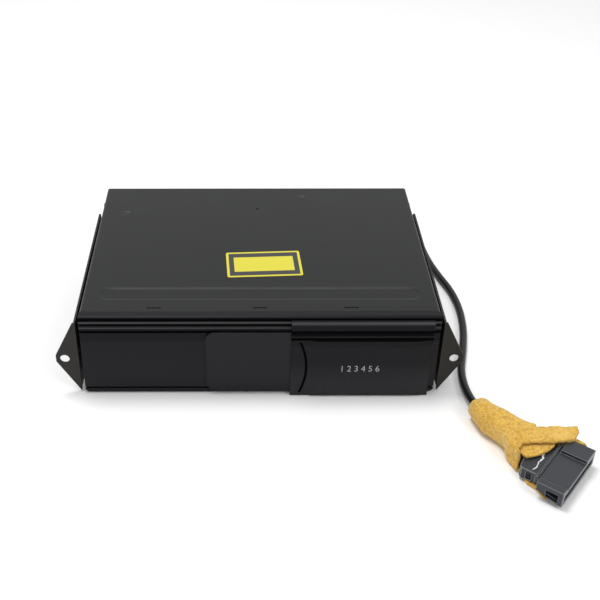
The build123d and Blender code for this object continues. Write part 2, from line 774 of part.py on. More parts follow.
# ---------------------------------------------------------------- lifting deck
deck_left = -chassis_inner + 3.7
deck_right = mech_right - 0.5
deck_sheet = 1.2
deck_low = 9.2
deck_high = deck_low + deck_sheet
deck_flange_top = 17.0
turntable_top = first_disc - 0.2
rod_radius = 1.5
rod_z = 8.0
rod_x = play_x - 16
screw_x = play_x + 16
sled_low = 5.0
sled_high = 11.2
sled_half_width = 20.0
sled_front = disc_y + 12.5
sled_length = 16.5
sled_travel = 32.5
lens_y = disc_y + 23
window_front = sled_front - 0.6
window_back = sled_front + sled_length + sled_travel + 0.4
clip_length = 2.4
spindle_radius = 11.0
spindle_shaft = 1.0
sled_motor_radius = 4.0
sled_motor_length = 16.0
bridge_left = deck_left + 0.2
bridge_right = bridge_left + 14.3
bridge_low = 22.6
hinge_x = deck_left + 4.0
hinge_z = 19.0
hinge_radius = 1.5
ear_span = (-14.5, 14.5)
ear_sheet = 1.2
arm_sheet = 1.2

with BuildPart() as deck_frame:
    block(deck_left, deck_right, deck_front, deck_back, deck_low, deck_high)
    for y in (deck_front, deck_back - deck_sheet):
        block(deck_left, deck_right, y, y + deck_sheet, deck_low, deck_flange_top)
        block(deck_left, bridge_right, y, y + deck_sheet, deck_low, bridge_low)
    block(
        play_x - sled_half_width - 1, play_x + sled_half_width + 1, window_front, window_back,
        deck_low, deck_high, Mode.SUBTRACT,
    )
    block(
        screw_x - sled_motor_radius - gap, screw_x + sled_motor_radius + gap,
        window_front - clip_length - sled_motor_length - gap, window_front - clip_length,
        deck_low, deck_high, Mode.SUBTRACT,
    )
    for x in (rod_x, screw_x):
        block(x - 3, x + 3, window_front - clip_length, window_front, rod_z - 3, deck_high)
        block(x - 3, x + 3, window_back, deck_back - deck_sheet, rod_z - 3, deck_high)
        rod(
            x, window_front - clip_length, rod_z, rod_radius + shaft_clearance,
            window_back + clip_length - window_front + clip_length, TO_BACK, Mode.SUBTRACT,
        )
    rod(play_x, disc_y, deck_low, 4.0, deck_sheet, mode=Mode.SUBTRACT)
    for x in pin_places:
        rod(x, deck_front, pin_z, pin_radius + shaft_clearance, deck_depth, TO_BACK, Mode.SUBTRACT)
save(deck_frame.part, "deck_frame")

pin_head = 2.6
pin_head_height = 0.8
with BuildPart() as deck_pins:
    for x in pin_places:
        rod(x, deck_front + deck_sheet, pin_z, pin_head, pin_head_height, TO_BACK)
        rod(
            x, deck_front + deck_sheet, pin_z, pin_radius,
            deck_front + deck_sheet - chassis_front, TO_FRONT,
        )
        rod(x, deck_back - deck_sheet, pin_z, pin_head, pin_head_height, TO_FRONT)
        rod(
            x, deck_back - deck_sheet, pin_z, pin_radius,
            bulkhead_back - deck_back + deck_sheet, TO_BACK,
        )
save(deck_pins.part, "deck_pins")

with BuildPart() as spindle_motor:
    rod(play_x, disc_y, deck_low - 4.8, spindle_radius, 4.8)
    rod(play_x, disc_y, deck_low, 3.0, deck_sheet + 0.8)
    rod(play_x, disc_y, deck_low - 3.5, spindle_shaft + shaft_clearance, 8, mode=Mode.SUBTRACT)
save(spindle_motor.part, "spindle_motor")

turntable_radius = 12.0
turntable_height = 1.9
with BuildPart() as turntable:
    rod(play_x, disc_y, turntable_top - turntable_height, turntable_radius, turntable_height)
    with BuildSketch(Plane.XY.offset(turntable_top)) as hub_foot:
        with Locations((play_x, disc_y)):
            Circle(disc_hole / 2 - 0.1)
    with BuildSketch(Plane.XY.offset(turntable_top + disc_thickness)) as hub_tip:
        with Locations((play_x, disc_y)):
            Circle(disc_hole / 2 - 1.5)
    loft()
    rod(play_x, disc_y, deck_low - 3.2, spindle_shaft, turntable_top - deck_low + 3.2)
save(turntable.part, "turntable")

with BuildPart() as pickup_sled:
    block(
        play_x - sled_half_width, play_x + sled_half_width,
        sled_front, sled_front + sled_length, sled_low, sled_high,
    )
    fillet(pickup_sled.edges().filter_by(Axis.Z), 2)
    for x in (rod_x, screw_x):
        rod(
            x, sled_front, rod_z, rod_radius + shaft_clearance, sled_length, TO_BACK, Mode.SUBTRACT
        )
    rod(play_x, lens_y, sled_high - 1, 5.0, 1, mode=Mode.SUBTRACT)
save(pickup_sled.part, "pickup_sled")

with BuildPart() as objective_lens:
    rod(play_x, lens_y, sled_high - 1, 4.0, 1.4)
    rod(play_x, lens_y, sled_high + 0.4, 2.2, 0.5)
save(objective_lens.part, "objective_lens")

with BuildPart() as guide_rod:
    rod(
        rod_x, window_front - clip_length, rod_z, rod_radius,
        window_back - window_front + 2 * clip_length, TO_BACK,
    )
save(guide_rod.part, "guide_rod")

with BuildPart() as lead_screw:
    rod(
        screw_x, window_front - clip_length - 3, rod_z, rod_radius,
        window_back - window_front + 2 * clip_length + 3, TO_BACK,
    )
save(lead_screw.part, "lead_screw")

with BuildPart() as sled_motor:
    rod(screw_x, window_front - clip_length, rod_z, sled_motor_radius, sled_motor_length, TO_FRONT)
    rod(screw_x, window_front - clip_length, rod_z, rod_radius + shaft_clearance, 4, TO_FRONT, Mode.SUBTRACT)
save(sled_motor.part, "sled_motor")

# ---------------------------------------------------------------- clamp over the turntable
puck_radius = 13.0
puck_low = turntable_top + disc_thickness + 0.1
puck_height = 2.6
stub_radius = 2.0
arm_low = hinge_z - arm_sheet / 2
arm_high = arm_low + arm_sheet
with BuildPart() as clamp_bridge:
    block(bridge_left, bridge_right, deck_front, deck_back, bridge_low, bridge_low + deck_sheet)
    for offset in ear_span:
        y = disc_y + offset - ear_sheet / 2
        block(hinge_x - 3, hinge_x + 3, y, y + ear_sheet, hinge_z - 3, bridge_low)
        rod(hinge_x, y, hinge_z, hinge_radius + shaft_clearance, ear_sheet, TO_BACK, Mode.SUBTRACT)
save(clamp_bridge.part, "clamp_bridge")

with BuildPart() as clamp_pin:
    rod(
        hinge_x, disc_y + ear_span[0] - ear_sheet - 0.6, hinge_z, hinge_radius,
        ear_span[1] - ear_span[0] + 2 * ear_sheet + 1.2, TO_BACK,
    )
save(clamp_pin.part, "clamp_pin")

barrel_radius = 2.8
arm_half_width = ear_span[1] - ear_sheet / 2 - gap
with BuildPart() as clamp_arm:
    rod(hinge_x, disc_y - arm_half_width, hinge_z, barrel_radius, 2 * arm_half_width, TO_BACK)
    with BuildSketch(Plane.XY.offset(arm_low)) as arm_outline:
        with BuildLine() as arm_edge:
            Polyline(
                (hinge_x, disc_y - arm_half_width),
                (play_x, disc_y - 10),
                (play_x, disc_y + 10),
                (hinge_x, disc_y + arm_half_width),
                close=True,
            )
        make_face()
        with Locations((play_x, disc_y)):
            Circle(10)
    extrude(amount=arm_sheet)
    rod(
        hinge_x, disc_y - arm_half_width, hinge_z, hinge_radius + shaft_clearance,
        2 * arm_half_width, TO_BACK, Mode.SUBTRACT,
    )
    rod(play_x, disc_y, arm_low, stub_radius + shaft_clearance, arm_sheet, mode=Mode.SUBTRACT)
save(clamp_arm.part, "clamp_arm")

with BuildPart() as clamp_puck:
    rod(play_x, disc_y, puck_low, puck_radius, puck_height)
    rod(play_x, disc_y, turntable_top + disc_thickness, disc_hole / 2, 1.2, mode=Mode.SUBTRACT)
    rod(play_x, disc_y, puck_low + 1.2, stub_radius, arm_high + gap + 0.8 - puck_low - 1.2)
    rod(play_x, disc_y, arm_high + gap, 3.5, 0.8)
save(clamp_puck.part, "clamp_puck")

# ---------------------------------------------------------------- electronics
board_low = 7.0
board_thickness = 1.6
board_left = magazine_left - 9.2
board_front = bulkhead_back + 5
board_back = chassis_back - 5
board_top = board_low + board_thickness
with BuildPart() as main_board:
    block(board_left, board_right, board_front, board_back, board_low, board_top)
save(main_board.part, "main_board")

with BuildPart() as board_posts:
    for x in (board_left + 5, board_right - 5):
        for y in (board_front + 5, board_back - 5):
            rod(x, y, floor_top, 3.0, board_low - floor_top)
save(board_posts.part, "board_posts")

chip_height = 2.2
chip_row = board_front + 9.2
with BuildPart() as board_chips:
    for place, width, length in ((14.0, 18.0, 18.0), (40.0, 24.0, 10.0), (72.0, 12.0, 9.0)):
        block(
            board_left + place, board_left + place + width, chip_row - 2, chip_row - 2 + length,
            board_top, board_top + chip_height,
        )
save(board_chips.part, "board_chips")

with BuildPart() as board_capacitors:
    for back_row, radius, height in ((0.0, 5.0, 14.0), (14.0, 4.0, 10.0)):
        for x in (board_right - 24.0, board_right - 12.0):
            rod(x, chip_row + 2.0 + back_row, board_top, radius, height)
save(board_capacitors.part, "board_capacitors")

sink_left = board_left + 34.0
sink_pitch = 6.0
sink_fins = 7
sink_fin = 1.2
sink_height = 24.0
sink_back = board_back - 1.0
sink_right = sink_left + (sink_fins - 1) * sink_pitch + sink_fin
with BuildPart() as heat_sink:
    block(sink_left, sink_right, sink_back - 2, sink_back, board_top, board_top + sink_height)
    for n in range(sink_fins):
        x = sink_left + n * sink_pitch
        block(x, x + sink_fin, sink_back - 8, sink_back - 1, board_top, board_top + sink_height)
save(heat_sink.part, "heat_sink")

with BuildPart() as lead_header:
    block(cable_x - 9, cable_x + 9, board_back - 8, board_back - 1, board_top, board_top + 9)
save(lead_header.part, "lead_header")

# ---------------------------------------------------------------- data lead
sleeve_end = rear + 13.25
with BuildPart() as cable_grommet:
    with BuildSketch(Plane.YZ.offset(cable_x)) as grommet_section:
        with BuildLine() as grommet_outline:
            Polyline(
                (chassis_back - 2, cable_z),
                (chassis_back - 2, cable_z + 7.5),
                (chassis_back - 0.1, cable_z + 7.5),
                (chassis_back - 0.1, cable_z + gland_neck),
                (rear + 0.1, cable_z + gland_neck),
                (rear + 0.1, cable_z + 8.5),
                (rear + 2, cable_z + 8.0),
                (rear + 2.5, cable_z + 5.6),
                (sleeve_end, cable_z + 4.2),
                (sleeve_end, cable_z),
                close=True,
            )
        make_face()
    revolve(axis=Axis((cable_x, 0, cable_z), (0, 1, 0)))
save(cable_grommet.part, "cable_grommet")

plug_angle = -38.4
plug_mouth = (209.0, -192.6)
foam_sheet = 2.0
plug_depth = 22.0
plug_width = 52.0
plug_height = 9.5
cap_length = 18.0
cap_width = 33.0
cap_back = plug_depth + cap_length
plug_low = foam_sheet + gap

# Points of the lead's route, chosen along the run that it lies in.
lead_route = [
    (cable_x, sleeve_end, cable_z),
    (cable_x, 136.0, cable_z),
    (95.5, 158.5, 11.0),
    (123.5, 162.0, 5.0),
    (147.0, 142.5, 3.0),
    (150.5, 112.0, 3.0),
    (153.0, 85.0, 3.0),
    (158.5, 60.0, 3.0),
    (165.5, 36.0, 3.0),
    (167.8, 8.0, 3.0),
    (165.5, -20.0, 3.0),
    (160.0, -47.0, 3.0),
    (153.2, -73.0, 3.0),
    (152.6, -99.0, 4.5),
    (156.5, -121.5, 7.5),
    (165.5, -145.0, 9.0),
    (178.2, -166.5, 7.0),
]
runs = [Vector(b) - Vector(a) for a, b in zip(lead_route, lead_route[1:])]
lead_radii = [
    0.45 * min(before.length, after.length) / tan(radians(before.get_angle(after)) / 2)
    for before, after in zip(runs, runs[1:])
]
print("runs", [round(run.length, 1) for run in runs])
print("radii", [round(radius, 1) for radius in lead_radii])

with BuildPart() as cable:
    with BuildLine() as lead_path:
        FilletPolyline(*lead_route, radius=lead_radii)
        lead_wire = lead_path.wires()[0]
    with BuildSketch(Plane(origin=lead_wire @ 0, z_dir=lead_wire % 0)) as lead_section:
        Circle(cable_diameter / 2)
    sweep()
lead_volume = lead_wire.length * pi * cable_diameter**2 / 4
print("lead length", round(lead_wire.length, 1), "volume ratio", round(cable.part.volume / lead_volume, 4))
save(cable.part, "cable")

plug_plane = Plane(
    origin=(*plug_mouth, plug_low),
    x_dir=(cos(radians(plug_angle)), sin(radians(plug_angle)), 0),
    z_dir=(0, 0, 1),
)
plug_wall = 1.9
plug_end = 2.6  # wall at each end of the plug
plug_half = plug_width / 2
cavity_depth = 16.0
rib_rise = 2.4  # keying ribs on top, one at each end of the plug
near_rib = 7.5
far_rib = 14.0
flange_rise = 1.6
flange_sheet = 1.6
flange_near = -20.5
flange_far = 20.0
shoulder = 3.5  # the plug's ends stand this far forward of the flange
flange_groove = 1.2
latch_back = -12.0
latch_length = 8.5
latch_low = 1.5
latch_high = 8.3
plug_ledge = 0.9
with BuildPart(plug_plane) as connector_housing:
    block(-plug_depth, 0, -plug_half, plug_half, 0, plug_height)
    block(-plug_depth + shoulder, 0, -plug_half, near_rib - plug_half, plug_height, plug_height + rib_rise)
    block(-plug_depth + shoulder, 0, plug_half - far_rib, plug_half, plug_height, plug_height + rib_rise)
    block(
        -plug_depth, -plug_depth + flange_sheet, flange_near, flange_far,
        plug_height, plug_height + flange_rise,
    )
    for near, far in ((-plug_half, flange_near), (flange_far, plug_half)):
        block(
            -plug_depth, -plug_depth + shoulder, near, far,
            0, plug_height + rib_rise, Mode.SUBTRACT,
        )
    block(
        -plug_depth + flange_sheet, -plug_depth + flange_sheet + flange_groove,
        flange_near, flange_far, plug_height - plug_ledge, plug_height, Mode.SUBTRACT,
    )
    block(
        -cavity_depth, 0, -plug_half + plug_end, plug_half - plug_end,
        plug_wall, plug_height - plug_wall, Mode.SUBTRACT,
    )
    # Latch window in the near end.
    block(
        latch_back, latch_back + latch_length, -plug_half, -plug_half + plug_end,
        latch_low, latch_high, Mode.SUBTRACT,
    )
save(connector_housing.part, "connector_housing")

cap_drop = 0.7
cap_corner = 1.5
notch_front = -26.0
notch_length = 9.0
notch_depth = 2.5
notch_low = 1.0
notch_high = 7.4
with BuildPart(plug_plane) as connector_cap:
    block(-cap_back, -plug_depth, -cap_width / 2, cap_width / 2, 0, plug_height - cap_drop)
    chamfer(connector_cap.edges().filter_by(Axis.Z), cap_corner)
    block(
        notch_front - notch_length, notch_front, -cap_width / 2, -cap_width / 2 + notch_depth,
        notch_low, notch_high, Mode.SUBTRACT,
    )
save(connector_cap.part, "connector_cap")

pin_count = 9
pin_pitch = 4.6
pin_length = 7.0
pin_half = 0.4
pin_rows = (3.9, 5.8)
with BuildPart(plug_plane) as connector_terminals:
    for row in pin_rows:
        for place in range(pin_count):
            across = (place - (pin_count - 1) / 2) * pin_pitch
            block(
                -cavity_depth, -cavity_depth + pin_length, across - pin_half, across + pin_half,
                row - pin_half, row + pin_half,
            )
save(connector_terminals.part, "connector_terminals")

# ---------------------------------------------------------------- foam round the plug's back
foam_room = 0.3
foam_join = 0.5  # how deep one layer of the wrap runs into the next
foam_floor = 0.1
plug_along = Vector(cos(radians(plug_angle)), sin(radians(plug_angle)))
plug_across = Vector(-sin(radians(plug_angle)), cos(radians(plug_angle)))
mouth_centre = Vector(*plug_mouth) - plug_along * (cap_back + foam_room + 1) + plug_across * 2.5
mouth_width = 39.0
hood_low = 14.2
hood_high = 17.4
fold_low = 11.6
tip_high = 10.0
sleeve_sections = [
    # centre x, y and z, heading in degrees, width, height and corner
    (155.7, -119.8, 8.4, -68.0, 15.0, 15.0, 6.5),
    (162.5, -135.0, 10.2, -62.0, 21.0, 19.0, 8.5),
    (169.5, -147.5, 10.2, -52.0, 26.0, 19.5, 8.5),
    (mouth_centre.X, mouth_centre.Y, 8.8, plug_angle, mouth_width, 17.2, 4.0),
]
hood_corners = [
    (171.0, -167.5), (187.0, -166.0), (200.0, -166.5), (211.6, -164.0), (217.2, -157.5),
    (216.4, -152.8), (208.0, -153.6), (196.3, -154.8), (183.0, -152.5), (174.0, -153.0),
]
fold_corners = [
    (171.5, -165.0), (172.5, -175.5), (176.0, -178.0), (184.5, -176.0),
    (192.0, -172.3), (199.5, -166.0), (198.0, -158.0), (176.0, -156.0),
]
back_corners = [
    (184.0, -150.0), (200.0, -153.4), (207.0, -153.8), (207.0, -158.0), (199.0, -157.0), (192.0, -152.8),
]
tip_corners = [
    (186.0, -150.0), (200.0, -153.0), (216.0, -153.5), (219.8, -164.0), (215.2, -161.8),
    (208.8, -157.2), (203.5, -160.6), (192.0, -152.0),
]
ground_corners = [
    (168.0, -170.0), (186.0, -151.0), (206.0, -153.0), (203.0, -174.0), (187.5, -201.5),
    (184.5, -203.5), (180.0, -194.0), (173.5, -186.0), (169.5, -177.0),
]
with BuildPart() as foam_wrap:
    for x, y, z, heading, width, height, corner in sleeve_sections:
        across = (-sin(radians(heading)), cos(radians(heading)), 0)
        along = (cos(radians(heading)), sin(radians(heading)), 0)
        with BuildSketch(Plane(origin=(x, y, z), x_dir=across, z_dir=along)) as sleeve_section:
            RectangleRounded(width, height, corner)
    loft()
    for corners, low, high in (
        (hood_corners, hood_low, hood_high),
        (fold_corners, fold_low, hood_low + foam_join),
        (back_corners, tip_high - foam_join, hood_low + foam_join),
        (tip_corners, foam_floor, tip_high),
        (ground_corners, foam_floor, foam_sheet),
    ):
        with BuildSketch(Plane.XY.offset(low)) as foam_layer:
            Polygon(*corners, align=None)
        extrude(amount=high - low)
save(foam_wrap.part, "foam_wrap")
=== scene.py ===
"""Looks of a six-disc car changer, with its brackets, label, lead, plug and foam wrap.

Metres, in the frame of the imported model: +X to the right of the doors, +Y in through the
doors and +Z up. The floor is z = 0.
"""

import json
import logging
import math
from collections.abc import Callable
from dataclasses import dataclass, field
from enum import Enum
from typing import Any

import bmesh
import bpy
from mathutils import Matrix, Vector, noise

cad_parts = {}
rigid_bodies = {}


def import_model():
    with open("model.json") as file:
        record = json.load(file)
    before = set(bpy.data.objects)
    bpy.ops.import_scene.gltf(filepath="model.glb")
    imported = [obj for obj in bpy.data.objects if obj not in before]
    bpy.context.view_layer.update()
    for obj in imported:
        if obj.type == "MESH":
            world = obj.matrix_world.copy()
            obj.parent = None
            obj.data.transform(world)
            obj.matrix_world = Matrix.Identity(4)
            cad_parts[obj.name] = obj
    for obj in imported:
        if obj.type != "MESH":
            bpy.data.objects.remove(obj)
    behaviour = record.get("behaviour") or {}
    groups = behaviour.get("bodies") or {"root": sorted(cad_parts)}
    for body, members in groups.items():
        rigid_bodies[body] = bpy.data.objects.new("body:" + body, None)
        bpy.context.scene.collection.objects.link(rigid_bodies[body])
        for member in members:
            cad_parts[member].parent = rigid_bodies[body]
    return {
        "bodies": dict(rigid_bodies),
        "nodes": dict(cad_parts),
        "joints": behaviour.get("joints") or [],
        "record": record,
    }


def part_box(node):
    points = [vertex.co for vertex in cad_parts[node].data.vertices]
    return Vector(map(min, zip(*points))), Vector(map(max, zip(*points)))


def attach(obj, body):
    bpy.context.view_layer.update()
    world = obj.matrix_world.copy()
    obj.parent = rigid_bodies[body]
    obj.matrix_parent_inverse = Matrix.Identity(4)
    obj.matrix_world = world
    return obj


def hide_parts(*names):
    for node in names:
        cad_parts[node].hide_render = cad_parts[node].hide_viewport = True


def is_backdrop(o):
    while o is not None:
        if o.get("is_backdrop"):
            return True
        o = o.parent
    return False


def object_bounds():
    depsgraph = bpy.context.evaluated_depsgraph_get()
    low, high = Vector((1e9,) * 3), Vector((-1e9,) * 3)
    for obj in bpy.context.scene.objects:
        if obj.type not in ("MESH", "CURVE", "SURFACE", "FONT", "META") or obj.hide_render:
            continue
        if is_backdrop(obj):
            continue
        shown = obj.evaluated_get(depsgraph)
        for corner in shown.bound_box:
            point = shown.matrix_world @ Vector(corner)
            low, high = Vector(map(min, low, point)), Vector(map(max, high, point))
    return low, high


LOG = logging.getLogger("changer")
MM = 0.001

LABEL_CENTRE = (4.0 * MM, -23.4 * MM)
LABEL_TURN = math.radians(3.0)
LABEL_SIZE = (57.0 * MM, 35.0 * MM)
PLUG_MOUTH = (209.0 * MM, -192.6 * MM)
PLUG_TURN = math.radians(-38.4)
WELD = 1e-6

# Places of a front's added materials, after its own: a painted highlight on rounded edges,
# painted shade in grooves, a painted highlight on beads and painted shade in recesses.
EDGE_HIGHLIGHT, GROOVE_SHADE, BEAD_HIGHLIGHT, RECESS_SHADE = range(1, 5)

Colour = tuple[float, float, float, float]
Point = tuple[float, float, float]


def shade(red: float, green: float, blue: float) -> Colour:
    """Return an opaque linear colour."""
    return (red, green, blue, 1.0)


class Slot(Enum):
    """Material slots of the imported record."""

    CASE_STEEL = "case_steel"
    COVER_PAINT = "cover_paint"
    LABEL = "label"
    SCREW_STEEL = "screw_steel"
    FASCIA_PLASTIC = "fascia_plastic"
    DOOR_PLASTIC = "door_plastic"
    BRACKET_PAINT = "bracket_paint"
    SPACER_RUBBER = "spacer_rubber"
    MAGAZINE_PLASTIC = "magazine_plastic"
    TRAY_PLASTIC = "tray_plastic"
    DISC = "disc"
    MECHANISM_PLASTIC = "mechanism_plastic"
    DECK_STEEL = "deck_steel"
    BRIGHT_STEEL = "bright_steel"
    MOTOR_CAN = "motor_can"
    LENS = "lens"
    BOARD_GREEN = "board_green"
    CHIP_PLASTIC = "chip_plastic"
    HEAT_SINK = "heat_sink"
    CABLE_JACKET = "cable_jacket"
    FOAM = "foam"
    CONNECTOR_PLASTIC = "connector_plastic"
    TERMINAL_BRASS = "terminal_brass"


# ------------------------ shader maths
class Signal:
    """An output socket of a material's nodes, with arithmetic that adds Math nodes."""

    def __init__(self, graph: "Graph", socket: bpy.types.NodeSocket) -> None:
        """Keep the graph and the socket."""
        self.graph = graph
        self.socket = socket

    def math(self, operation: str, *values: Any) -> "Signal":
        """Add a Math node.

        Args:
            operation: The Math node's operation.
            values: Signals or numbers for its sockets, in order.

        Returns:
            The node's output.
        """
        inputs = dict(enumerate(values))
        return self.graph.signal("ShaderNodeMath", {"operation": operation}, inputs)

    def __add__(self, other: Any) -> "Signal":
        """Add."""
        return self.math("ADD", self, other)

    def __radd__(self, other: Any) -> "Signal":
        """Add, with the number first."""
        return self.math("ADD", other, self)

    def __sub__(self, other: Any) -> "Signal":
        """Subtract."""
        return self.math("SUBTRACT", self, other)

    def __rsub__(self, other: Any) -> "Signal":
        """Subtract from a number."""
        return self.math("SUBTRACT", other, self)

    def __mul__(self, other: Any) -> "Signal":
        """Multiply."""
        return self.math("MULTIPLY", self, other)

    def __abs__(self) -> "Signal":
        """Take the size without the sign."""
        return self.math("ABSOLUTE", self)

    def above(self, edge: float, width: float) -> "Signal":
        """Rise from 0 to 1 across an edge.

        Args:
            edge: The value at which the result is one half.
            width: How far the rise spreads.

        Returns:
            The mask.
        """
        inputs = {
            "Value": self,
            "From Min": edge - width / 2,
            "From Max": edge + width / 2,
        }
        return self.graph.signal("ShaderNodeMapRange", {"clamp": True}, inputs)

    def below(self, edge: float, width: float) -> "Signal":
        """Fall from 1 to 0 across an edge, as above() rises."""
        return 1 - self.above(edge, width)


class Graph:
    """Nodes of one material round a Principled shader."""

    def __init__(self, name: str) -> None:
        """Make an empty material with a shader that feeds its surface."""
        self.material = bpy.data.materials.new(name)
        self.material.use_nodes = True
        self.tree = self.material.node_tree
        self.tree.nodes.clear()
        output = self.tree.nodes.new("ShaderNodeOutputMaterial")
        self.shader = self.tree.nodes.new("ShaderNodeBsdfPrincipled")
        self.tree.links.new(self.shader.outputs[0], output.inputs["Surface"])

    def node(
        self, kind: str, settings: dict[str, Any], inputs: dict[Any, Any]
    ) -> bpy.types.Node:
        """Add a node.

        Args:
            kind: The node's type.
            settings: Its own settings, set first.
            inputs: A value or a Signal for each socket, by name or number.

        Returns:
            The node.
        """
        made = self.tree.nodes.new(kind)
        for key, value in settings.items():
            setattr(made, key, value)
        for key, value in inputs.items():
            self.feed(made.inputs[key], value)
        return made

    def signal(
        self, kind: str, settings: dict[str, Any], inputs: dict[Any, Any]
    ) -> Signal:
        """Add a node, as node() does, and return its first output."""
        return Signal(self, self.node(kind, settings, inputs).outputs[0])

    def feed(self, socket: bpy.types.NodeSocket, value: Any) -> None:
        """Link a Signal to a socket, or set the socket's own value."""
        if isinstance(value, Signal):
            self.tree.links.new(value.socket, socket)
        else:
            socket.default_value = value

    def set(self, **values: Any) -> None:
        """Feed the Principled shader's sockets, named with underscores for spaces."""
        for key, value in values.items():
            self.feed(self.shader.inputs[key.replace("_", " ")], value)

    def place(
        self,
        scale: Point = (1.0, 1.0, 1.0),
        centre: Point = (0.0, 0.0, 0.0),
        turn: float = 0.0,
    ) -> Signal:
        """Object coordinates, moved, turned and scaled.

        Args:
            scale: Stretch along each axis.
            centre: The point that becomes the origin, in metres.
            turn: Turn about Z in radians.

        Returns:
            The coordinates.
        """
        coordinates = self.node("ShaderNodeTexCoord", {}, {})
        inputs = {
            "Vector": Signal(self, coordinates.outputs["Object"]),
            "Location": centre,
            "Rotation": (0.0, 0.0, turn),
            "Scale": scale,
        }
        return self.signal("ShaderNodeMapping", {"vector_type": "TEXTURE"}, inputs)

    def parts(self, vector: Signal) -> tuple[Signal, Signal, Signal]:
        """Split a vector into its X, Y and Z."""
        split = self.node("ShaderNodeSeparateXYZ", {}, {"Vector": vector})
        x, y, z = (Signal(self, output) for output in split.outputs)
        return x, y, z

    def length(self, vector: Signal) -> Signal:
        """Return a vector's length."""
        made = self.node("ShaderNodeVectorMath", {"operation": "LENGTH"}, {0: vector})
        return Signal(self, made.outputs[1])

    def noise(
        self, vector: Signal, scale: float, detail: float = 3.0, rough: float = 0.5
    ) -> Signal:
        """Noise from 0 to 1 on given coordinates."""
        inputs = {
            "Vector": vector,
            "Scale": scale,
            "Detail": detail,
            "Roughness": rough,
        }
        return self.signal("ShaderNodeTexNoise", {}, inputs)

    def mix(self, factor: Any, first: Any, second: Any) -> Signal:
        """Blend two colours.

        Args:
            factor: 0 for the first, 1 for the second.
            first: A colour or a Signal.
            second: A colour or a Signal.

        Returns:
            The blended colour.
        """
        made = self.node("ShaderNodeMix", {"data_type": "RGBA"}, {})
        self.feed(made.inputs[0], factor)
        self.feed(made.inputs[6], first)
        self.feed(made.inputs[7], second)
        return Signal(self, made.outputs[2])

    def bump(self, height: Signal, depth: float) -> None:
        """Feed the shader's Normal with a bump of a given depth in metres."""
        inputs = {"Height": height, "Distance": depth, "Strength": 1.0}
        self.set(Normal=self.signal("ShaderNodeBump", {}, inputs))


# ------------------------ finishes
@dataclass(frozen=True)
class Finish:
    """A plain moulded, painted or metal surface with grain and slight unevenness."""

    name: str
    colour: Colour
    roughness: float
    metallic: float = 0.0
    specular: float = 0.5
    grain_scale: float = 900.0
    grain_depth: float = 0.00004
    mottle: float = 0.12
    mottle_scale: float = 22.0
    stretch: Point = (1.0, 1.0, 1.0)

    def tones(self) -> tuple[Colour, Colour]:
        """Return the darker and the lighter tone round the finish's colour."""
        dark = tuple(c * (1 - self.mottle) for c in self.colour[:3])
        light = tuple(min(1.0, c * (1 + self.mottle)) for c in self.colour[:3])
        return shade(*dark), shade(*light)

    def base(
        self, graph: Graph, broad: Signal, fine: Signal, share: float = 0.6
    ) -> Signal:
        """Blend the two tones by the noises.

        Args:
            graph: The material's nodes.
            broad: Noise of broad patches.
            fine: Noise of fine grain.
            share: The broad noise's part of the blend.

        Returns:
            The blended colour.
        """
        dark, light = self.tones()
        return graph.mix(broad * share + fine * (1 - share), dark, light)

    def build(self) -> bpy.types.Material:
        """Make the material.

        Returns:
            The new material.
        """
        graph = Graph(self.name)
        fine = graph.noise(graph.place(self.stretch), self.grain_scale, 2.0)
        broad = graph.noise(graph.place(), self.mottle_scale, 4.0, 0.6)
        self.colouring(graph, broad, fine)
        rough = self.roughness + (broad - 0.5) * 0.12 + (fine - 0.5) * 0.08
        graph.set(
            Roughness=rough, Metallic=self.metallic, Specular_IOR_Level=self.specular
        )
        graph.bump(fine, self.grain_depth)
        return graph.material

    def colouring(self, graph: Graph, broad: Signal, fine: Signal) -> None:
        """Feed the base colour from the broad and the fine noise."""
        graph.set(Base_Color=self.base(graph, broad, fine, 0.7))


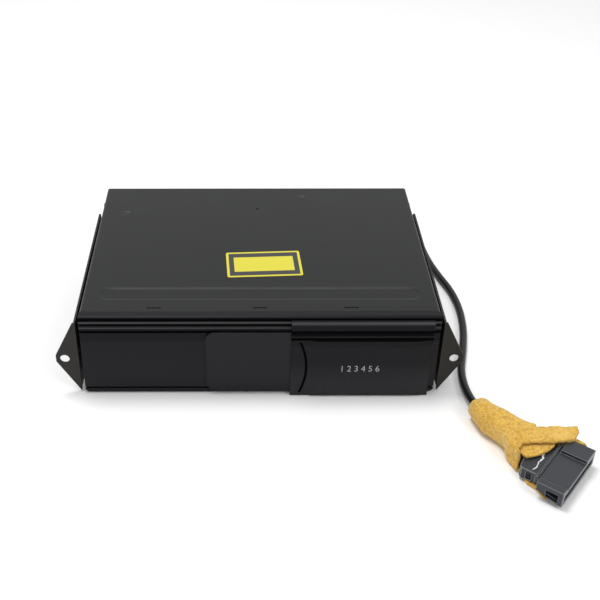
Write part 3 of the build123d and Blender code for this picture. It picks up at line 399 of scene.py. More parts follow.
@dataclass(frozen=True)
class CoverFinish(Finish):
    """Satin paint of the top cover, with rub streaks, a rub mark, a painted glint along
    its step and painted shade along its seam.
    """

    rub: Colour = shade(0.12, 0.12, 0.118)
    streak_stretch: Point = (0.0125, 0.9, 1.0)
    streak_turn: float = 0.35
    mark: Point = (-0.1139, 0.054, 0.0686)
    mark_size: Point = (0.0115, 0.004, 0.01)
    mark_turn: float = 0.55
    top: float = 0.0675
    top_blur: float = 0.0002
    # Colour of the painted highlight along the cover's step.
    sheen: Colour = shade(0.06, 0.061, 0.066)
    glint_centre: float = 0.0005
    glint_half: float = 0.112
    glint_fade: float = 0.012
    glint_y: float = -0.0566
    glint_width: float = 0.0011
    glint_blur: float = 0.0018
    # Colour of the painted shade in the seam between the cover and the fascia.
    seam_shade: Colour = shade(0.001, 0.001, 0.0012)
    seam_y: float = -0.0862
    seam_width: float = 0.0006
    seam_blur: float = 0.0005

    def colouring(self, graph: Graph, broad: Signal, fine: Signal) -> None:
        """Add streaks, a curved mark, a painted glint along the step and painted shade
        along the seam to the paint.
        """
        base = self.base(graph, broad, fine)
        streaks = graph.place(self.streak_stretch, turn=self.streak_turn)
        streak = graph.noise(streaks, 240.0, 2.0)
        cloud = graph.noise(graph.place(), 34.0, 3.0)
        hairline = streak.above(0.76, 0.03) * cloud.above(0.6, 0.1)
        base = graph.mix(hairline * 0.55, base, self.rub)
        mark = graph.place(self.mark_size, self.mark, self.mark_turn)
        ring = abs(graph.length(mark) - 0.7).below(0.1, 0.2)
        arc = ring * graph.parts(mark)[0].above(0.1, 0.5)
        base = graph.mix(arc * cloud * 0.6, base, self.rub)
        x, y, z = graph.parts(graph.place())
        on_top = z.above(self.top, self.top_blur)
        # Painted highlight: a glint along the back edge of the cover's step.
        within = abs(x - self.glint_centre).below(self.glint_half, self.glint_fade)
        glint = abs(y - self.glint_y).below(self.glint_width, self.glint_blur)
        glint = glint * (within * on_top)
        base = graph.mix(glint * (0.3 + cloud * 0.4), base, self.sheen)
        # Painted shade in the seam between the cover and the fascia.
        seam = abs(y - self.seam_y).below(self.seam_width, self.seam_blur) * on_top
        graph.set(Base_Color=graph.mix(seam * 0.6, base, self.seam_shade))


@dataclass(frozen=True)
class DoorFinish(Finish):
    """Glossy black plastic, painted lighter towards its foot."""

    # Colour of the painted light, strongest at the foot.
    painted_light: Colour = shade(0.046, 0.0468, 0.05)
    painted_light_height: float = 0.006
    painted_light_spread: float = 0.05

    def colouring(self, graph: Graph, broad: Signal, fine: Signal) -> None:
        """Paint light onto the plastic's tones, strongest at the foot and fading upwards.
        """
        base = self.base(graph, broad, fine, 0.7)
        height = graph.parts(graph.place())[2]
        foot = height.below(self.painted_light_height, self.painted_light_spread)
        # Painted light: lighter towards the foot, fading upwards in broad patches.
        graph.set(Base_Color=graph.mix(foot * (0.4 + broad * 0.6), base, self.painted_light))


@dataclass(frozen=True)
class LabelFinish(Finish):
    """Black film with a yellow border and a bare yellow block."""

    ink: Colour = shade(0.018, 0.018, 0.02)
    border: float = 0.0019
    block: tuple[float, float] = (0.0228, 0.0101)
    blur: float = 0.00012

    def colouring(self, graph: Graph, broad: Signal, fine: Signal) -> None:
        """Paint the border and the block by the place on the label."""
        place = graph.place(centre=(*LABEL_CENTRE, 0.0), turn=LABEL_TURN)
        across, along = (abs(part) for part in graph.parts(place)[:2])
        sides = across.above(LABEL_SIZE[0] / 2 - self.border, self.blur)
        ends = along.above(LABEL_SIZE[1] / 2 - self.border, self.blur)
        frame = sides.math("MAXIMUM", sides, ends)
        block = across.below(self.block[0], self.blur)
        block = block * along.below(self.block[1], self.blur)
        mask = frame.math("MAXIMUM", frame, block)
        yellow = self.base(graph, broad, fine)
        graph.set(Base_Color=graph.mix(mask, self.ink, yellow))


@dataclass(frozen=True)
class FoamFinish(Finish):
    """Ochre open-cell foam, paler in patches, with one scorched spot."""

    pale: Colour = shade(0.82, 0.56, 0.15)
    deep: Colour = shade(0.46, 0.22, 0.015)
    burn: Colour = shade(0.62, 0.12, 0.008)
    burn_place: Point = (0.2052, -0.1625, 0.0115)
    burn_size: float = 0.0042

    def build(self) -> bpy.types.Material:
        """Make the material.

        Returns:
            The new material.
        """
        graph = Graph(self.name)
        place = graph.place()
        cells = graph.noise(place, 900.0, 3.0, 0.7)
        wool = graph.noise(place, 420.0, 5.0, 0.65)
        broad = graph.noise(place, 60.0, 3.0, 0.5)
        tone = graph.mix(wool.above(0.47, 0.22), self.deep, self.colour)
        tone = graph.mix(broad.above(0.56, 0.3) * 0.5, tone, self.pale)
        tone = graph.mix(cells.above(0.56, 0.14) * 0.5, tone, self.pale)
        tone = graph.mix(cells.below(0.42, 0.14) * 0.5, tone, self.deep)
        spot = graph.place((self.burn_size,) * 3, self.burn_place)
        burnt = graph.length(spot).below(0.8, 0.6) * cells.above(0.5, 0.1)
        tone = graph.mix(burnt, tone, self.burn)
        graph.set(
            Base_Color=tone,
            Roughness=self.roughness,
            Specular_IOR_Level=0.15,
            Sheen_Weight=0.25,
            Sheen_Roughness=0.6,
        )
        graph.bump(cells * 0.4 + wool * 0.6, 0.0007)
        return graph.material


@dataclass(frozen=True)
class PlugFinish(Finish):
    """Grey-black moulding with a painted highlight round its mouth."""

    mouth_highlight: Colour = shade(0.17, 0.175, 0.18)
    rim_width: float = 0.0006
    rim_blur: float = 0.0004

    def colouring(self, graph: Graph, broad: Signal, fine: Signal) -> None:
        """Paint a highlight round the mouth's edge."""
        base = self.base(graph, broad, fine)
        place = graph.place(centre=(*PLUG_MOUTH, 0.0), turn=PLUG_TURN)
        edge = graph.parts(place)[0].above(-self.rim_width, self.rim_blur)
        # Painted highlight round the mouth's edge.
        graph.set(Base_Color=graph.mix(edge * (0.5 + broad * 0.5), base, self.mouth_highlight))


@dataclass(frozen=True)
class ScuffedFinish(Finish):
    """Dark plastic with a white scuff across its top."""

    centre: Point = (0.1860, -0.1780, 0.0)
    turn: float = math.radians(49.6)
    scuff: Colour = shade(0.75, 0.75, 0.74)
    scuff_low: float = 0.0102
    scuff_half: float = 0.0108
    scuff_width: float = 0.0007
    scuff_bend: float = 0.012

    def colouring(self, graph: Graph, broad: Signal, fine: Signal) -> None:
        """Add a ragged, bent white streak to the plastic's tones."""
        base = self.base(graph, broad, fine)
        place = graph.place(centre=self.centre, turn=self.turn)
        along, across, height = graph.parts(place)
        wander = graph.noise(graph.place(), 150.0, 2.0, 0.5)
        ragged = graph.noise(graph.place(), 900.0, 4.0, 0.7)
        off = across + (wander - 0.5) * self.scuff_bend
        line = abs(off).below(self.scuff_width, 0.0005)
        reach = abs(along).below(self.scuff_half, 0.002)
        reach = reach * height.above(self.scuff_low, 0.0002)
        mask = line * reach * ragged.above(0.34, 0.1)
        graph.set(Base_Color=graph.mix(mask, base, self.scuff))


@dataclass(frozen=True)
class DiscFinish(Finish):
    """Pressed disc: a mirror with faint rings round its middle."""

    shadow: Colour = shade(0.55, 0.57, 0.62)

    def build(self) -> bpy.types.Material:
        """Make the material.

        Returns:
            The new material.
        """
        graph = Graph(self.name)
        low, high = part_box("disc_1")
        place = graph.place(centre=((low.x + high.x) / 2, (low.y + high.y) / 2, 0.0))
        rings = graph.signal(
            "ShaderNodeTexWave",
            {"wave_type": "RINGS", "rings_direction": "Z"},
            {"Vector": place, "Scale": 260.0, "Distortion": 0.0},
        )
        graph.set(
            Base_Color=graph.mix(rings * 0.3, self.colour, self.shadow),
            Roughness=self.roughness + rings * 0.06,
            Metallic=self.metallic,
        )
        return graph.material


FINISHES: dict[Slot, Finish] = {
    Slot.CASE_STEEL: Finish(
        "zinc_sheet", shade(0.5, 0.5, 0.47), 0.42, 1.0, stretch=(0.2, 2.0, 2.0)
    ),
    Slot.COVER_PAINT: CoverFinish(
        "cover_paint", shade(0.0075, 0.008, 0.0088), 0.4, specular=0.22
    ),
    Slot.LABEL: LabelFinish(
        "label_film", shade(0.64, 0.57, 0.028), 0.38, grain_depth=0.00001, mottle=0.06
    ),
    Slot.SCREW_STEEL: Finish("zinc_screw", shade(0.55, 0.55, 0.53), 0.34, 1.0),
    # The fascia is painted lighter towards its foot as well.
    Slot.FASCIA_PLASTIC: DoorFinish(
        "fascia_plastic",
        shade(0.003, 0.0033, 0.005),
        0.3,
        specular=0.16,
        painted_light=shade(0.014, 0.0143, 0.016),
        painted_light_height=0.02,
        painted_light_spread=0.06,
    ),
    Slot.DOOR_PLASTIC: DoorFinish(
        "door_plastic", shade(0.002, 0.0022, 0.0038), 0.26, specular=0.16
    ),
    Slot.BRACKET_PAINT: Finish(
        "bracket_paint", shade(0.013, 0.0115, 0.0095), 0.5, specular=0.3, mottle=0.35
    ),
    Slot.SPACER_RUBBER: Finish("black_rubber", shade(0.012, 0.012, 0.012), 0.62),
    Slot.MAGAZINE_PLASTIC: Finish("magazine_plastic", shade(0.03, 0.03, 0.033), 0.5),
    Slot.TRAY_PLASTIC: Finish("tray_plastic", shade(0.06, 0.06, 0.064), 0.48),
    Slot.DISC: DiscFinish("pressed_disc", shade(0.8, 0.81, 0.83), 0.16, 1.0),
    Slot.MECHANISM_PLASTIC: Finish("mechanism_plastic", shade(0.6, 0.59, 0.54), 0.45),
    Slot.DECK_STEEL: Finish(
        "deck_sheet", shade(0.52, 0.52, 0.5), 0.4, 1.0, stretch=(2.0, 0.2, 2.0)
    ),
    Slot.BRIGHT_STEEL: Finish("ground_steel", shade(0.66, 0.66, 0.66), 0.2, 1.0),
    Slot.MOTOR_CAN: Finish("motor_can", shade(0.5, 0.5, 0.5), 0.32, 1.0),
    Slot.LENS: Finish(
        "lens_glass", shade(0.3, 0.36, 0.55), 0.06, grain_depth=0.000002
    ),
    Slot.BOARD_GREEN: Finish("board_mask", shade(0.02, 0.14, 0.05), 0.34),
    Slot.CHIP_PLASTIC: Finish("chip_plastic", shade(0.02, 0.02, 0.02), 0.5),
    Slot.HEAT_SINK: Finish(
        "heat_sink", shade(0.6, 0.6, 0.6), 0.36, 1.0, stretch=(2.0, 2.0, 0.2)
    ),
    Slot.CABLE_JACKET: Finish(
        "cable_jacket", shade(0.0045, 0.0046, 0.0056), 0.34, specular=0.26
    ),
    Slot.FOAM: FoamFinish("foam", shade(0.72, 0.44, 0.06), 0.95),
    Slot.CONNECTOR_PLASTIC: PlugFinish(
        "connector_plastic", shade(0.024, 0.027, 0.034), 0.38, specular=0.45
    ),
    Slot.TERMINAL_BRASS: Finish("terminal", shade(0.7, 0.56, 0.28), 0.3, 1.0),
}


# ------------------------ shared making
def link(name: str, data: bpy.types.ID) -> bpy.types.Object:
    """Put a new object with the given data into the scene."""
    made = bpy.data.objects.new(name, data)
    bpy.context.scene.collection.objects.link(made)
    return made


def mesh_from(name: str, shell: bmesh.types.BMesh) -> bpy.types.Mesh:
    """Turn a bmesh into a mesh, and free it."""
    mesh = bpy.data.meshes.new(name)
    shell.to_mesh(mesh)
    shell.free()
    return mesh


def final_shell(made: bpy.types.Object) -> bmesh.types.BMesh:
    """Return an object's mesh after its modifiers, and remove the object."""
    bpy.context.view_layer.update()
    graph = bpy.context.evaluated_depsgraph_get()
    mesh = bpy.data.meshes.new_from_object(made.evaluated_get(graph))
    shell = bmesh.new()
    shell.from_mesh(mesh)
    bpy.data.objects.remove(made)
    bpy.data.meshes.remove(mesh)
    return shell


@dataclass
class Kit:
    """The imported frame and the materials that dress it."""

    frame: dict[str, Any]
    materials: dict[Slot, bpy.types.Material] = field(default_factory=dict)
    flat_angle: float = math.radians(0.5)
    edge_angle: float = math.radians(38.0)

    def material(self, slot: Slot) -> bpy.types.Material:
        """Return the slot's material, made once."""
        if slot not in self.materials:
            self.materials[slot] = FINISHES[slot].build()
        return self.materials[slot]

    def dress_nodes(self) -> None:
        """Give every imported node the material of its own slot."""
        for entry in self.frame["record"]["subparts"]:
            piece = self.frame["nodes"][entry["node"]]
            piece.data.materials.clear()
            piece.data.materials.append(self.material(Slot(entry["material_slot"])))
        heads = self.frame["nodes"]["cover_screws"].data
        heads.materials[0] = Finish(
            "blackened_screw", shade(0.02, 0.02, 0.021), 0.3, 0.6
        ).build()

    def piece(
        self,
        name: str,
        shell: bmesh.types.BMesh,
        slot: Slot,
        body: str,
        smooth: float = 50.0,
    ) -> bpy.types.Object:
        """Turn a finished bmesh into a piece of the object.

        Args:
            name: The piece's name.
            shell: The mesh, in place.
            slot: The material slot it takes its finish from.
            body: The body that it rides on.
            smooth: Edges up to this many degrees are shaded smooth.

        Returns:
            The new object.
        """
        mesh = mesh_from(name, shell)
        mesh.shade_smooth()
        mesh.set_sharp_from_angle(angle=math.radians(smooth))
        made = link(name, mesh)
        mesh.materials.append(self.material(slot))
        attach(made, body)
        LOG.info("piece %s: %d faces", name, len(mesh.polygons))
        return made

    def copy_of(self, node: str) -> bmesh.types.BMesh:
        """Return a merged copy of a node's mesh, with its flat faces whole."""
        shell = bmesh.new()
        shell.from_mesh(self.frame["nodes"][node].data)
        bmesh.ops.remove_doubles(shell, verts=shell.verts, dist=WELD)
        bmesh.ops.dissolve_limit(
            shell,
            angle_limit=self.flat_angle,
            verts=shell.verts,
            edges=shell.edges,
            delimit={"NORMAL"},
        )
        return shell

    def soften(
        self,
        node: str,
        slot: Slot,
        body: str,
        width: float,
        segments: int = 2,
        extra_materials: tuple[bpy.types.Material, ...] = (),
        reshape: Callable[[bmesh.types.BMesh], None] | None = None,
        edge_highlight: bool = False,
    ) -> bpy.types.Object:
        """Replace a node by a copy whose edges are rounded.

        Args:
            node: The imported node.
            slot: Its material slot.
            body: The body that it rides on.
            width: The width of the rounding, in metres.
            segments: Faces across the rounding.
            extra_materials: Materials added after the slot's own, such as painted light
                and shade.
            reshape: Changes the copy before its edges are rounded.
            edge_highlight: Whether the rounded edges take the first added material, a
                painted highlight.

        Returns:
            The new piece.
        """
        shell = self.copy_of(node)
        if reshape:
            reshape(shell)
        sharp = [
            edge
            for edge in shell.edges
            if len(edge.link_faces) == 2
            and edge.calc_face_angle(0.0) > self.edge_angle
        ]
        # When asked, the rounded edges take the first added material, a painted highlight.
        bmesh.ops.bevel(
            shell,
            geom=sharp,
            offset=width,
            offset_type="OFFSET",
            segments=segments,
            profile=0.5,
            affect="EDGES",
            clamp_overlap=True,
            material=EDGE_HIGHLIGHT if edge_highlight else -1,
        )
        made = self.piece(f"{node}_finished", shell, slot, body)
        for finish in extra_materials:
            made.data.materials.append(finish)
        flatten = made.modifiers.new("even_normals", "WEIGHTED_NORMAL")
        flatten.mode = "FACE_AREA"
        flatten.keep_sharp = False
        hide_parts(node)
        return made


def box_shell(low: Point, high: Point) -> bmesh.types.BMesh:
    """Return a bmesh box between two corners.

    Args:
        low: Lowest corner in metres.
        high: Highest corner in metres.

    Returns:
        The bmesh.
    """
    shell = bmesh.new()
    size = [b - a for a, b in zip(low, high)]
    centre = [(a + b) / 2 for a, b in zip(low, high)]
    matrix = Matrix.Translation(centre) @ Matrix.Diagonal((*size, 1.0))
    bmesh.ops.create_cube(shell, size=1.0, matrix=matrix)
    return shell


def prism(shell: bmesh.types.BMesh, corners: list[Vector]) -> None:
    """Add a prism to a mesh, with its normals outwards.

    Args:
        shell: The mesh.
        corners: The corners of one end, then those of the other, in the same order.
    """
    verts = [shell.verts.new(corner) for corner in corners]
    half = len(verts) // 2
    faces = [shell.faces.new(verts[:half]), shell.faces.new(verts[half:])]
    for place in range(half):
        after = (place + 1) % half
        side = (verts[place], verts[after], verts[half + after], verts[half + place])
        faces.append(shell.faces.new(side))
    bmesh.ops.recalc_face_normals(shell, faces=faces)


def ragged(
    shell: bmesh.types.BMesh, reach: float, scale: float, seed: float
) -> None:
    """Push each vertex along its normal by smooth noise.

    Args:
        shell: The mesh to change.
        reach: The greatest push in metres.
        scale: Waves of the noise to a metre.
        seed: Moves the noise, so that pieces differ.
    """
    shell.normal_update()
    moves = [
        (vert, vert.normal * reach * noise.noise(vert.co * scale + Vector((seed,) * 3)))
        for vert in shell.verts
    ]
    for vert, move in moves:
        vert.co += move


# Painted light and shade on a front, as colour, roughness and specular: a painted
# highlight on rounded edges, near-black painted shade in grooves, a painted highlight on
# beads and painted shade in recesses.
FRONT_PAINTED_LIGHT_AND_SHADE = {
    "edge": (shade(0.012, 0.0124, 0.0145), 0.3, 0.3),
    "groove": (shade(0.0008, 0.0008, 0.001), 0.7, 0.02),
    "bead": (shade(0.028, 0.0285, 0.031), 0.3, 0.3),
    "recess": (shade(0.003, 0.0031, 0.0043), 0.38, 0.12),
}


def front_painted_light_and_shade(name: str, part: str) -> bpy.types.Material:
    """Make the painted highlight or painted shade of one part of a front.

    Args:
        name: The front's name.
        part: The part: edge, groove, bead or recess; edges and beads take a painted
            highlight, grooves and recesses painted shade.

    Returns:
        The new material.
    """
    colour, roughness, specular = FRONT_PAINTED_LIGHT_AND_SHADE[part]
    return Finish(f"{name}_{part}", colour, roughness, specular=specular).build()


# In millimetres: how far behind a front its stripes reach, and how far off a stripe's
# middle and the front face a corner may be and still be sunk.
BAND_DEPTH = 3.0
MIDDLE_SLACK = 0.01
FRONT_SLACK = 0.05


@dataclass(frozen=True)
class Band:
    """A stripe of painted highlight or painted shade across the front of a piece, in
    millimetres.
    """

    low: float
    high: float
    material: int
    sink: float = 0.0

    def cut(self, shell: bmesh.types.BMesh, front: float) -> None:
        """Cut the stripe into a mesh, sink its middle and give it its material of painted
        highlight or painted shade.

        Args:
            shell: The mesh.
            front: Y of the piece's front face.
        """
        middle = (self.low + self.high) / 2
        levels = (self.low, middle, self.high) if self.sink else (self.low, self.high)
        for level in levels:
            bmesh.ops.bisect_plane(
                shell,
                geom=[*shell.verts, *shell.edges, *shell.faces],
                dist=WELD,
                plane_co=(0.0, 0.0, level * MM),
                plane_no=(0.0, 0.0, 1.0),
            )
        for face in shell.faces:
            centre = face.calc_center_median()
            level_with = self.low < centre.z / MM < self.high
            if level_with and centre.y < (front + BAND_DEPTH) * MM:
                face.material_index = self.material
        for vert in shell.verts:
            deep = abs(vert.co.z / MM - middle) < MIDDLE_SLACK
            if self.sink and deep and abs(vert.co.y / MM - front) < FRONT_SLACK:
                vert.co.y += self.sink * MM


# Stripes of painted shade on the fascia's nose and in the grooves and recesses, and of
# painted highlight on the beads, of the fascia's and the door's fronts.
FASCIA_FRONT = -94.25
FASCIA_BANDS = (
    Band(67.5, 68.55, RECESS_SHADE),
    Band(65.3, 67.5, GROOVE_SHADE, 1.2),
    Band(63.5, 64.9, BEAD_HIGHLIGHT),
    Band(61.95, 62.95, GROOVE_SHADE),
    Band(60.1, 61.95, RECESS_SHADE),
    Band(59.1, 60.1, BEAD_HIGHLIGHT),
    Band(57.3, 58.6, RECESS_SHADE),
    Band(55.3, 57.3, GROOVE_SHADE),
    Band(48.0, 55.3, RECESS_SHADE),
)
DOOR_FRONT = -98.75
DOOR_BANDS = (
    Band(64.2, 65.9, BEAD_HIGHLIGHT),
    Band(60.0, 62.6, RECESS_SHADE),
    Band(57.0, 60.0, GROOVE_SHADE),
    Band(50.6, 54.0, GROOVE_SHADE),
    Band(45.5, 50.6, RECESS_SHADE),
)


# ------------------------ casing
@dataclass
class Casing:
    """Top cover, fascia, brackets and the label on the cover."""

    edge: float = 0.28 * MM
    fascia_edge: float = 0.3 * MM
    bracket_edge: float = 0.22 * MM
    label_corner: float = 1.6 * MM
    label_thickness: float = 0.12 * MM
    step_centre: tuple[float, float] = (0.5 * MM, -63.75 * MM)
    step_half: tuple[float, float] = (117.5 * MM, 8.0 * MM)
    step_depth: float = 0.4 * MM
    step_slope: float = 1.8 * MM
    step_slack: float = 1.01

    def build(self, kit: Kit) -> None:
        """Make the casing's pieces."""
        kit.soften(
            "top_cover", Slot.COVER_PAINT, "case", self.edge, reshape=self.slope_step
        )
        kit.soften(
            "front_fascia",
            Slot.FASCIA_PLASTIC,
            "case",
            self.fascia_edge,
            extra_materials=tuple(front_painted_light_and_shade("fascia", part) for part in FRONT_PAINTED_LIGHT_AND_SHADE),
            reshape=self.stripe_fascia,
            edge_highlight=True,
        )
        for side in ("left", "right"):
            kit.soften(
                f"{side}_bracket", Slot.BRACKET_PAINT, "case", self.bracket_edge
            )
        self.build_label(kit)

    def stripe_fascia(self, shell: bmesh.types.BMesh) -> None:
        """Paint shade into the fascia's grooves and recesses and a highlight onto its
        beads, and sink its top groove.
        """
        for band in FASCIA_BANDS:
            band.cut(shell, FASCIA_FRONT)

    def slope_step(self, shell: bmesh.types.BMesh) -> None:
        """Slope the walls of the cover's shallow step, which is pressed, not cut.

        Args:
            shell: The cover's mesh.
        """
        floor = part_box("top_cover")[1].z - self.step_depth
        for vert in shell.verts:
            place = [vert.co[axis] - self.step_centre[axis] for axis in (0, 1)]
            inside = all(
                abs(off) < half * self.step_slack
                for off, half in zip(place, self.step_half)
            )
            if inside and abs(vert.co.z - floor) < 0.1 * self.step_depth:
                for axis, half in enumerate(self.step_half):
                    vert.co[axis] -= place[axis] * self.step_slope / half

    def build_label(self, kit: Kit) -> None:
        """Make the label with rounded corners."""
        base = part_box("top_label")[0].z
        width, length = LABEL_SIZE
        shell = box_shell(
            (-width / 2, -length / 2, 0.0), (width / 2, length / 2, self.label_thickness)
        )
        upright = [
            edge
            for edge in shell.edges
            if abs(edge.verts[0].co.z - edge.verts[1].co.z) > self.label_thickness / 2
        ]
        bmesh.ops.bevel(
            shell,
            geom=upright,
            offset=self.label_corner,
            segments=6,
            profile=0.5,
            affect="EDGES",
            material=-1,
        )
        turn = Matrix.Rotation(LABEL_TURN, 4, "Z")
        place = Matrix.Translation((*LABEL_CENTRE, base)) @ turn
        bmesh.ops.transform(shell, matrix=place, verts=shell.verts)
        made = kit.piece("label", shell, Slot.LABEL, "case")
        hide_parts("top_label")


# ------------------------ doors
@dataclass
class Doors:
    """Outer door, inner leaf, eject button and the slot numbers on the door."""

    edge: float = 0.35 * MM
    leaf_edge: float = 0.3 * MM
    numbers: str = "1 2 3 4 5 6"
    numbers_left: float = 59.5 * MM
    numbers_right: float = 86.9 * MM
    numbers_low: float = 23.6 * MM
    numbers_height: float = 5.2 * MM
    relief: float = 0.06 * MM
    text_depth: float = 0.02
    groove_centre: tuple[float, float] = (-24.2 * MM, 26.0 * MM)
    groove_radius: float = 58.0 * MM
    groove_width: float = 0.7 * MM
    groove_widening: float = 0.45 * MM
    groove_front: float = -97.43 * MM
    groove_back: float = -96.8 * MM

    def build(self, kit: Kit) -> None:
        """Make the doors' pieces."""
        # The door's rounded edges keep its own plastic, with no painted highlight; its
        # bead, grooves and recesses take painted light and shade.
        plastic = kit.material(Slot.DOOR_PLASTIC)  # in the place of EDGE_HIGHLIGHT
        door_painted_light_and_shade = (front_painted_light_and_shade("door", part) for part in ("groove", "bead", "recess"))
        kit.soften(
            "outer_door",
            Slot.DOOR_PLASTIC,
            "door",
            self.edge,
            segments=3,
            extra_materials=(plastic, *door_painted_light_and_shade),
            reshape=self.stripe_door,
        )
        leaf = kit.soften("inner_door", Slot.DOOR_PLASTIC, "leaf", self.leaf_edge)
        leaf.data.materials[0] = Finish(
            "leaf_plastic", shade(0.006, 0.0062, 0.0082), 0.3, specular=0.2
        ).build()
        kit.soften("eject_button", Slot.DOOR_PLASTIC, "button", self.leaf_edge)
        self.build_numbers(kit)

    def stripe_door(self, shell: bmesh.types.BMesh) -> None:
        """Paint a highlight onto the door's bead and shade into its recesses, and widen
        its curved groove and paint shade into it.

        Args:
            shell: The door's mesh.
        """
        for band in DOOR_BANDS:
            band.cut(shell, DOOR_FRONT)
        x, z = self.groove_centre
        in_groove = {}
        for vert in shell.verts:
            out = Vector((vert.co.x - x, 0.0, vert.co.z - z))
            off = out.length - self.groove_radius
            level = self.groove_front < vert.co.y < self.groove_back
            if level and vert.co.x > x and abs(off) < self.groove_width:
                widening = math.copysign(self.groove_widening, off)
                in_groove[vert] = out.normalized() * widening
        for face in shell.faces:
            if all(vert in in_groove for vert in face.verts):
                face.material_index = GROOVE_SHADE
        for vert, move in in_groove.items():
            vert.co += move

    def build_numbers(self, kit: Kit) -> None:
        """Print the row of slot numbers on the outer door."""
        curve = bpy.data.curves.new("slot_numbers_text", "FONT")
        curve.body = self.numbers
        curve.size = 1.0
        curve.extrude = self.text_depth
        shell = final_shell(link("slot_numbers_text", curve))
        bmesh.ops.remove_doubles(shell, verts=shell.verts, dist=1e-5)
        xs = [vert.co.x for vert in shell.verts]
        ys = [vert.co.y for vert in shell.verts]
        width = (self.numbers_right - self.numbers_left) / (max(xs) - min(xs))
        height = self.numbers_height / (max(ys) - min(ys))
        depth = self.relief / (2 * self.text_depth)
        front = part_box("outer_door")[0].y
        move = Matrix.Translation((-min(xs), -min(ys), 0.0))
        size = Matrix.Diagonal((width, height, depth, 1.0))
        stand = Matrix.Rotation(math.radians(90.0), 4, "X")
        place = Matrix.Translation((self.numbers_left, front, self.numbers_low))
        place = place @ stand @ size @ move
        bmesh.ops.transform(shell, matrix=place, verts=shell.verts)
        bmesh.ops.recalc_face_normals(shell, faces=shell.faces)
        made = kit.piece("slot_numbers", shell, Slot.DOOR_PLASTIC, "door", 20.0)
        made.data.materials[0] = Finish(
            "silver_print", shade(0.3, 0.31, 0.33), 0.4, 0.3
        ).build()


# ------------------------ lead, plug and foam
@dataclass(frozen=True)
class Pull:
    """A smooth pull on the part of a mesh round one place, in millimetres."""

    place: Point
    reach: float
    move: Point

    def apply(self, shell: bmesh.types.BMesh) -> None:
        """Move the mesh's vertices, less the further they lie from the place."""
        centre = Vector(self.place) * MM
        for vert in shell.verts:
            nearness = 1 - (vert.co - centre).length / (self.reach * MM)
            if nearness > 0:
                weight = nearness * nearness * (3 - 2 * nearness)
                vert.co += Vector(self.move) * MM * weight


FOAM_PULLS = (
    Pull((167.5, -127.0, 12.0), 10.0, (-2.2, -1.2, 0.0)),
    Pull((200.0, -150.0, 15.0), 20.0, (0.0, 3.4, 1.0)),
    Pull((217.5, -152.0, 16.0), 9.0, (1.6, 2.0, 0.4)),
    Pull((218.0, -162.5, 8.0), 9.0, (3.2, 0.8, 1.0)),
    Pull((160.0, -160.0, 6.0), 22.0, (5.0, 3.4, 0.0)),
    Pull((165.5, -181.0, 8.0), 18.0, (6.4, 3.2, 0.0)),
    Pull((170.5, -183.0, 3.0), 9.0, (1.6, -3.4, 0.0)),
)

@dataclass(frozen=True)
class Slit:
    """An upright prism cut out of the foam, in millimetres."""

    corners: tuple[tuple[float, float], ...]
    low: float
    high: float


FOAM_SLITS = (
    Slit(
        (
            (172.0, -165.6), (171.5, -181.0), (187.0, -181.0), (203.0, -171.0),
            (203.0, -163.0), (199.0, -160.8), (187.0, -160.8), (179.0, -163.2),
        ),
        13.7,
        15.2,
    ),
    Slit(
        ((171.3, -166.8), (172.5, -166.8), (173.7, -179.0), (172.3, -180.5)),
        10.8,
        16.6,
    ),
)


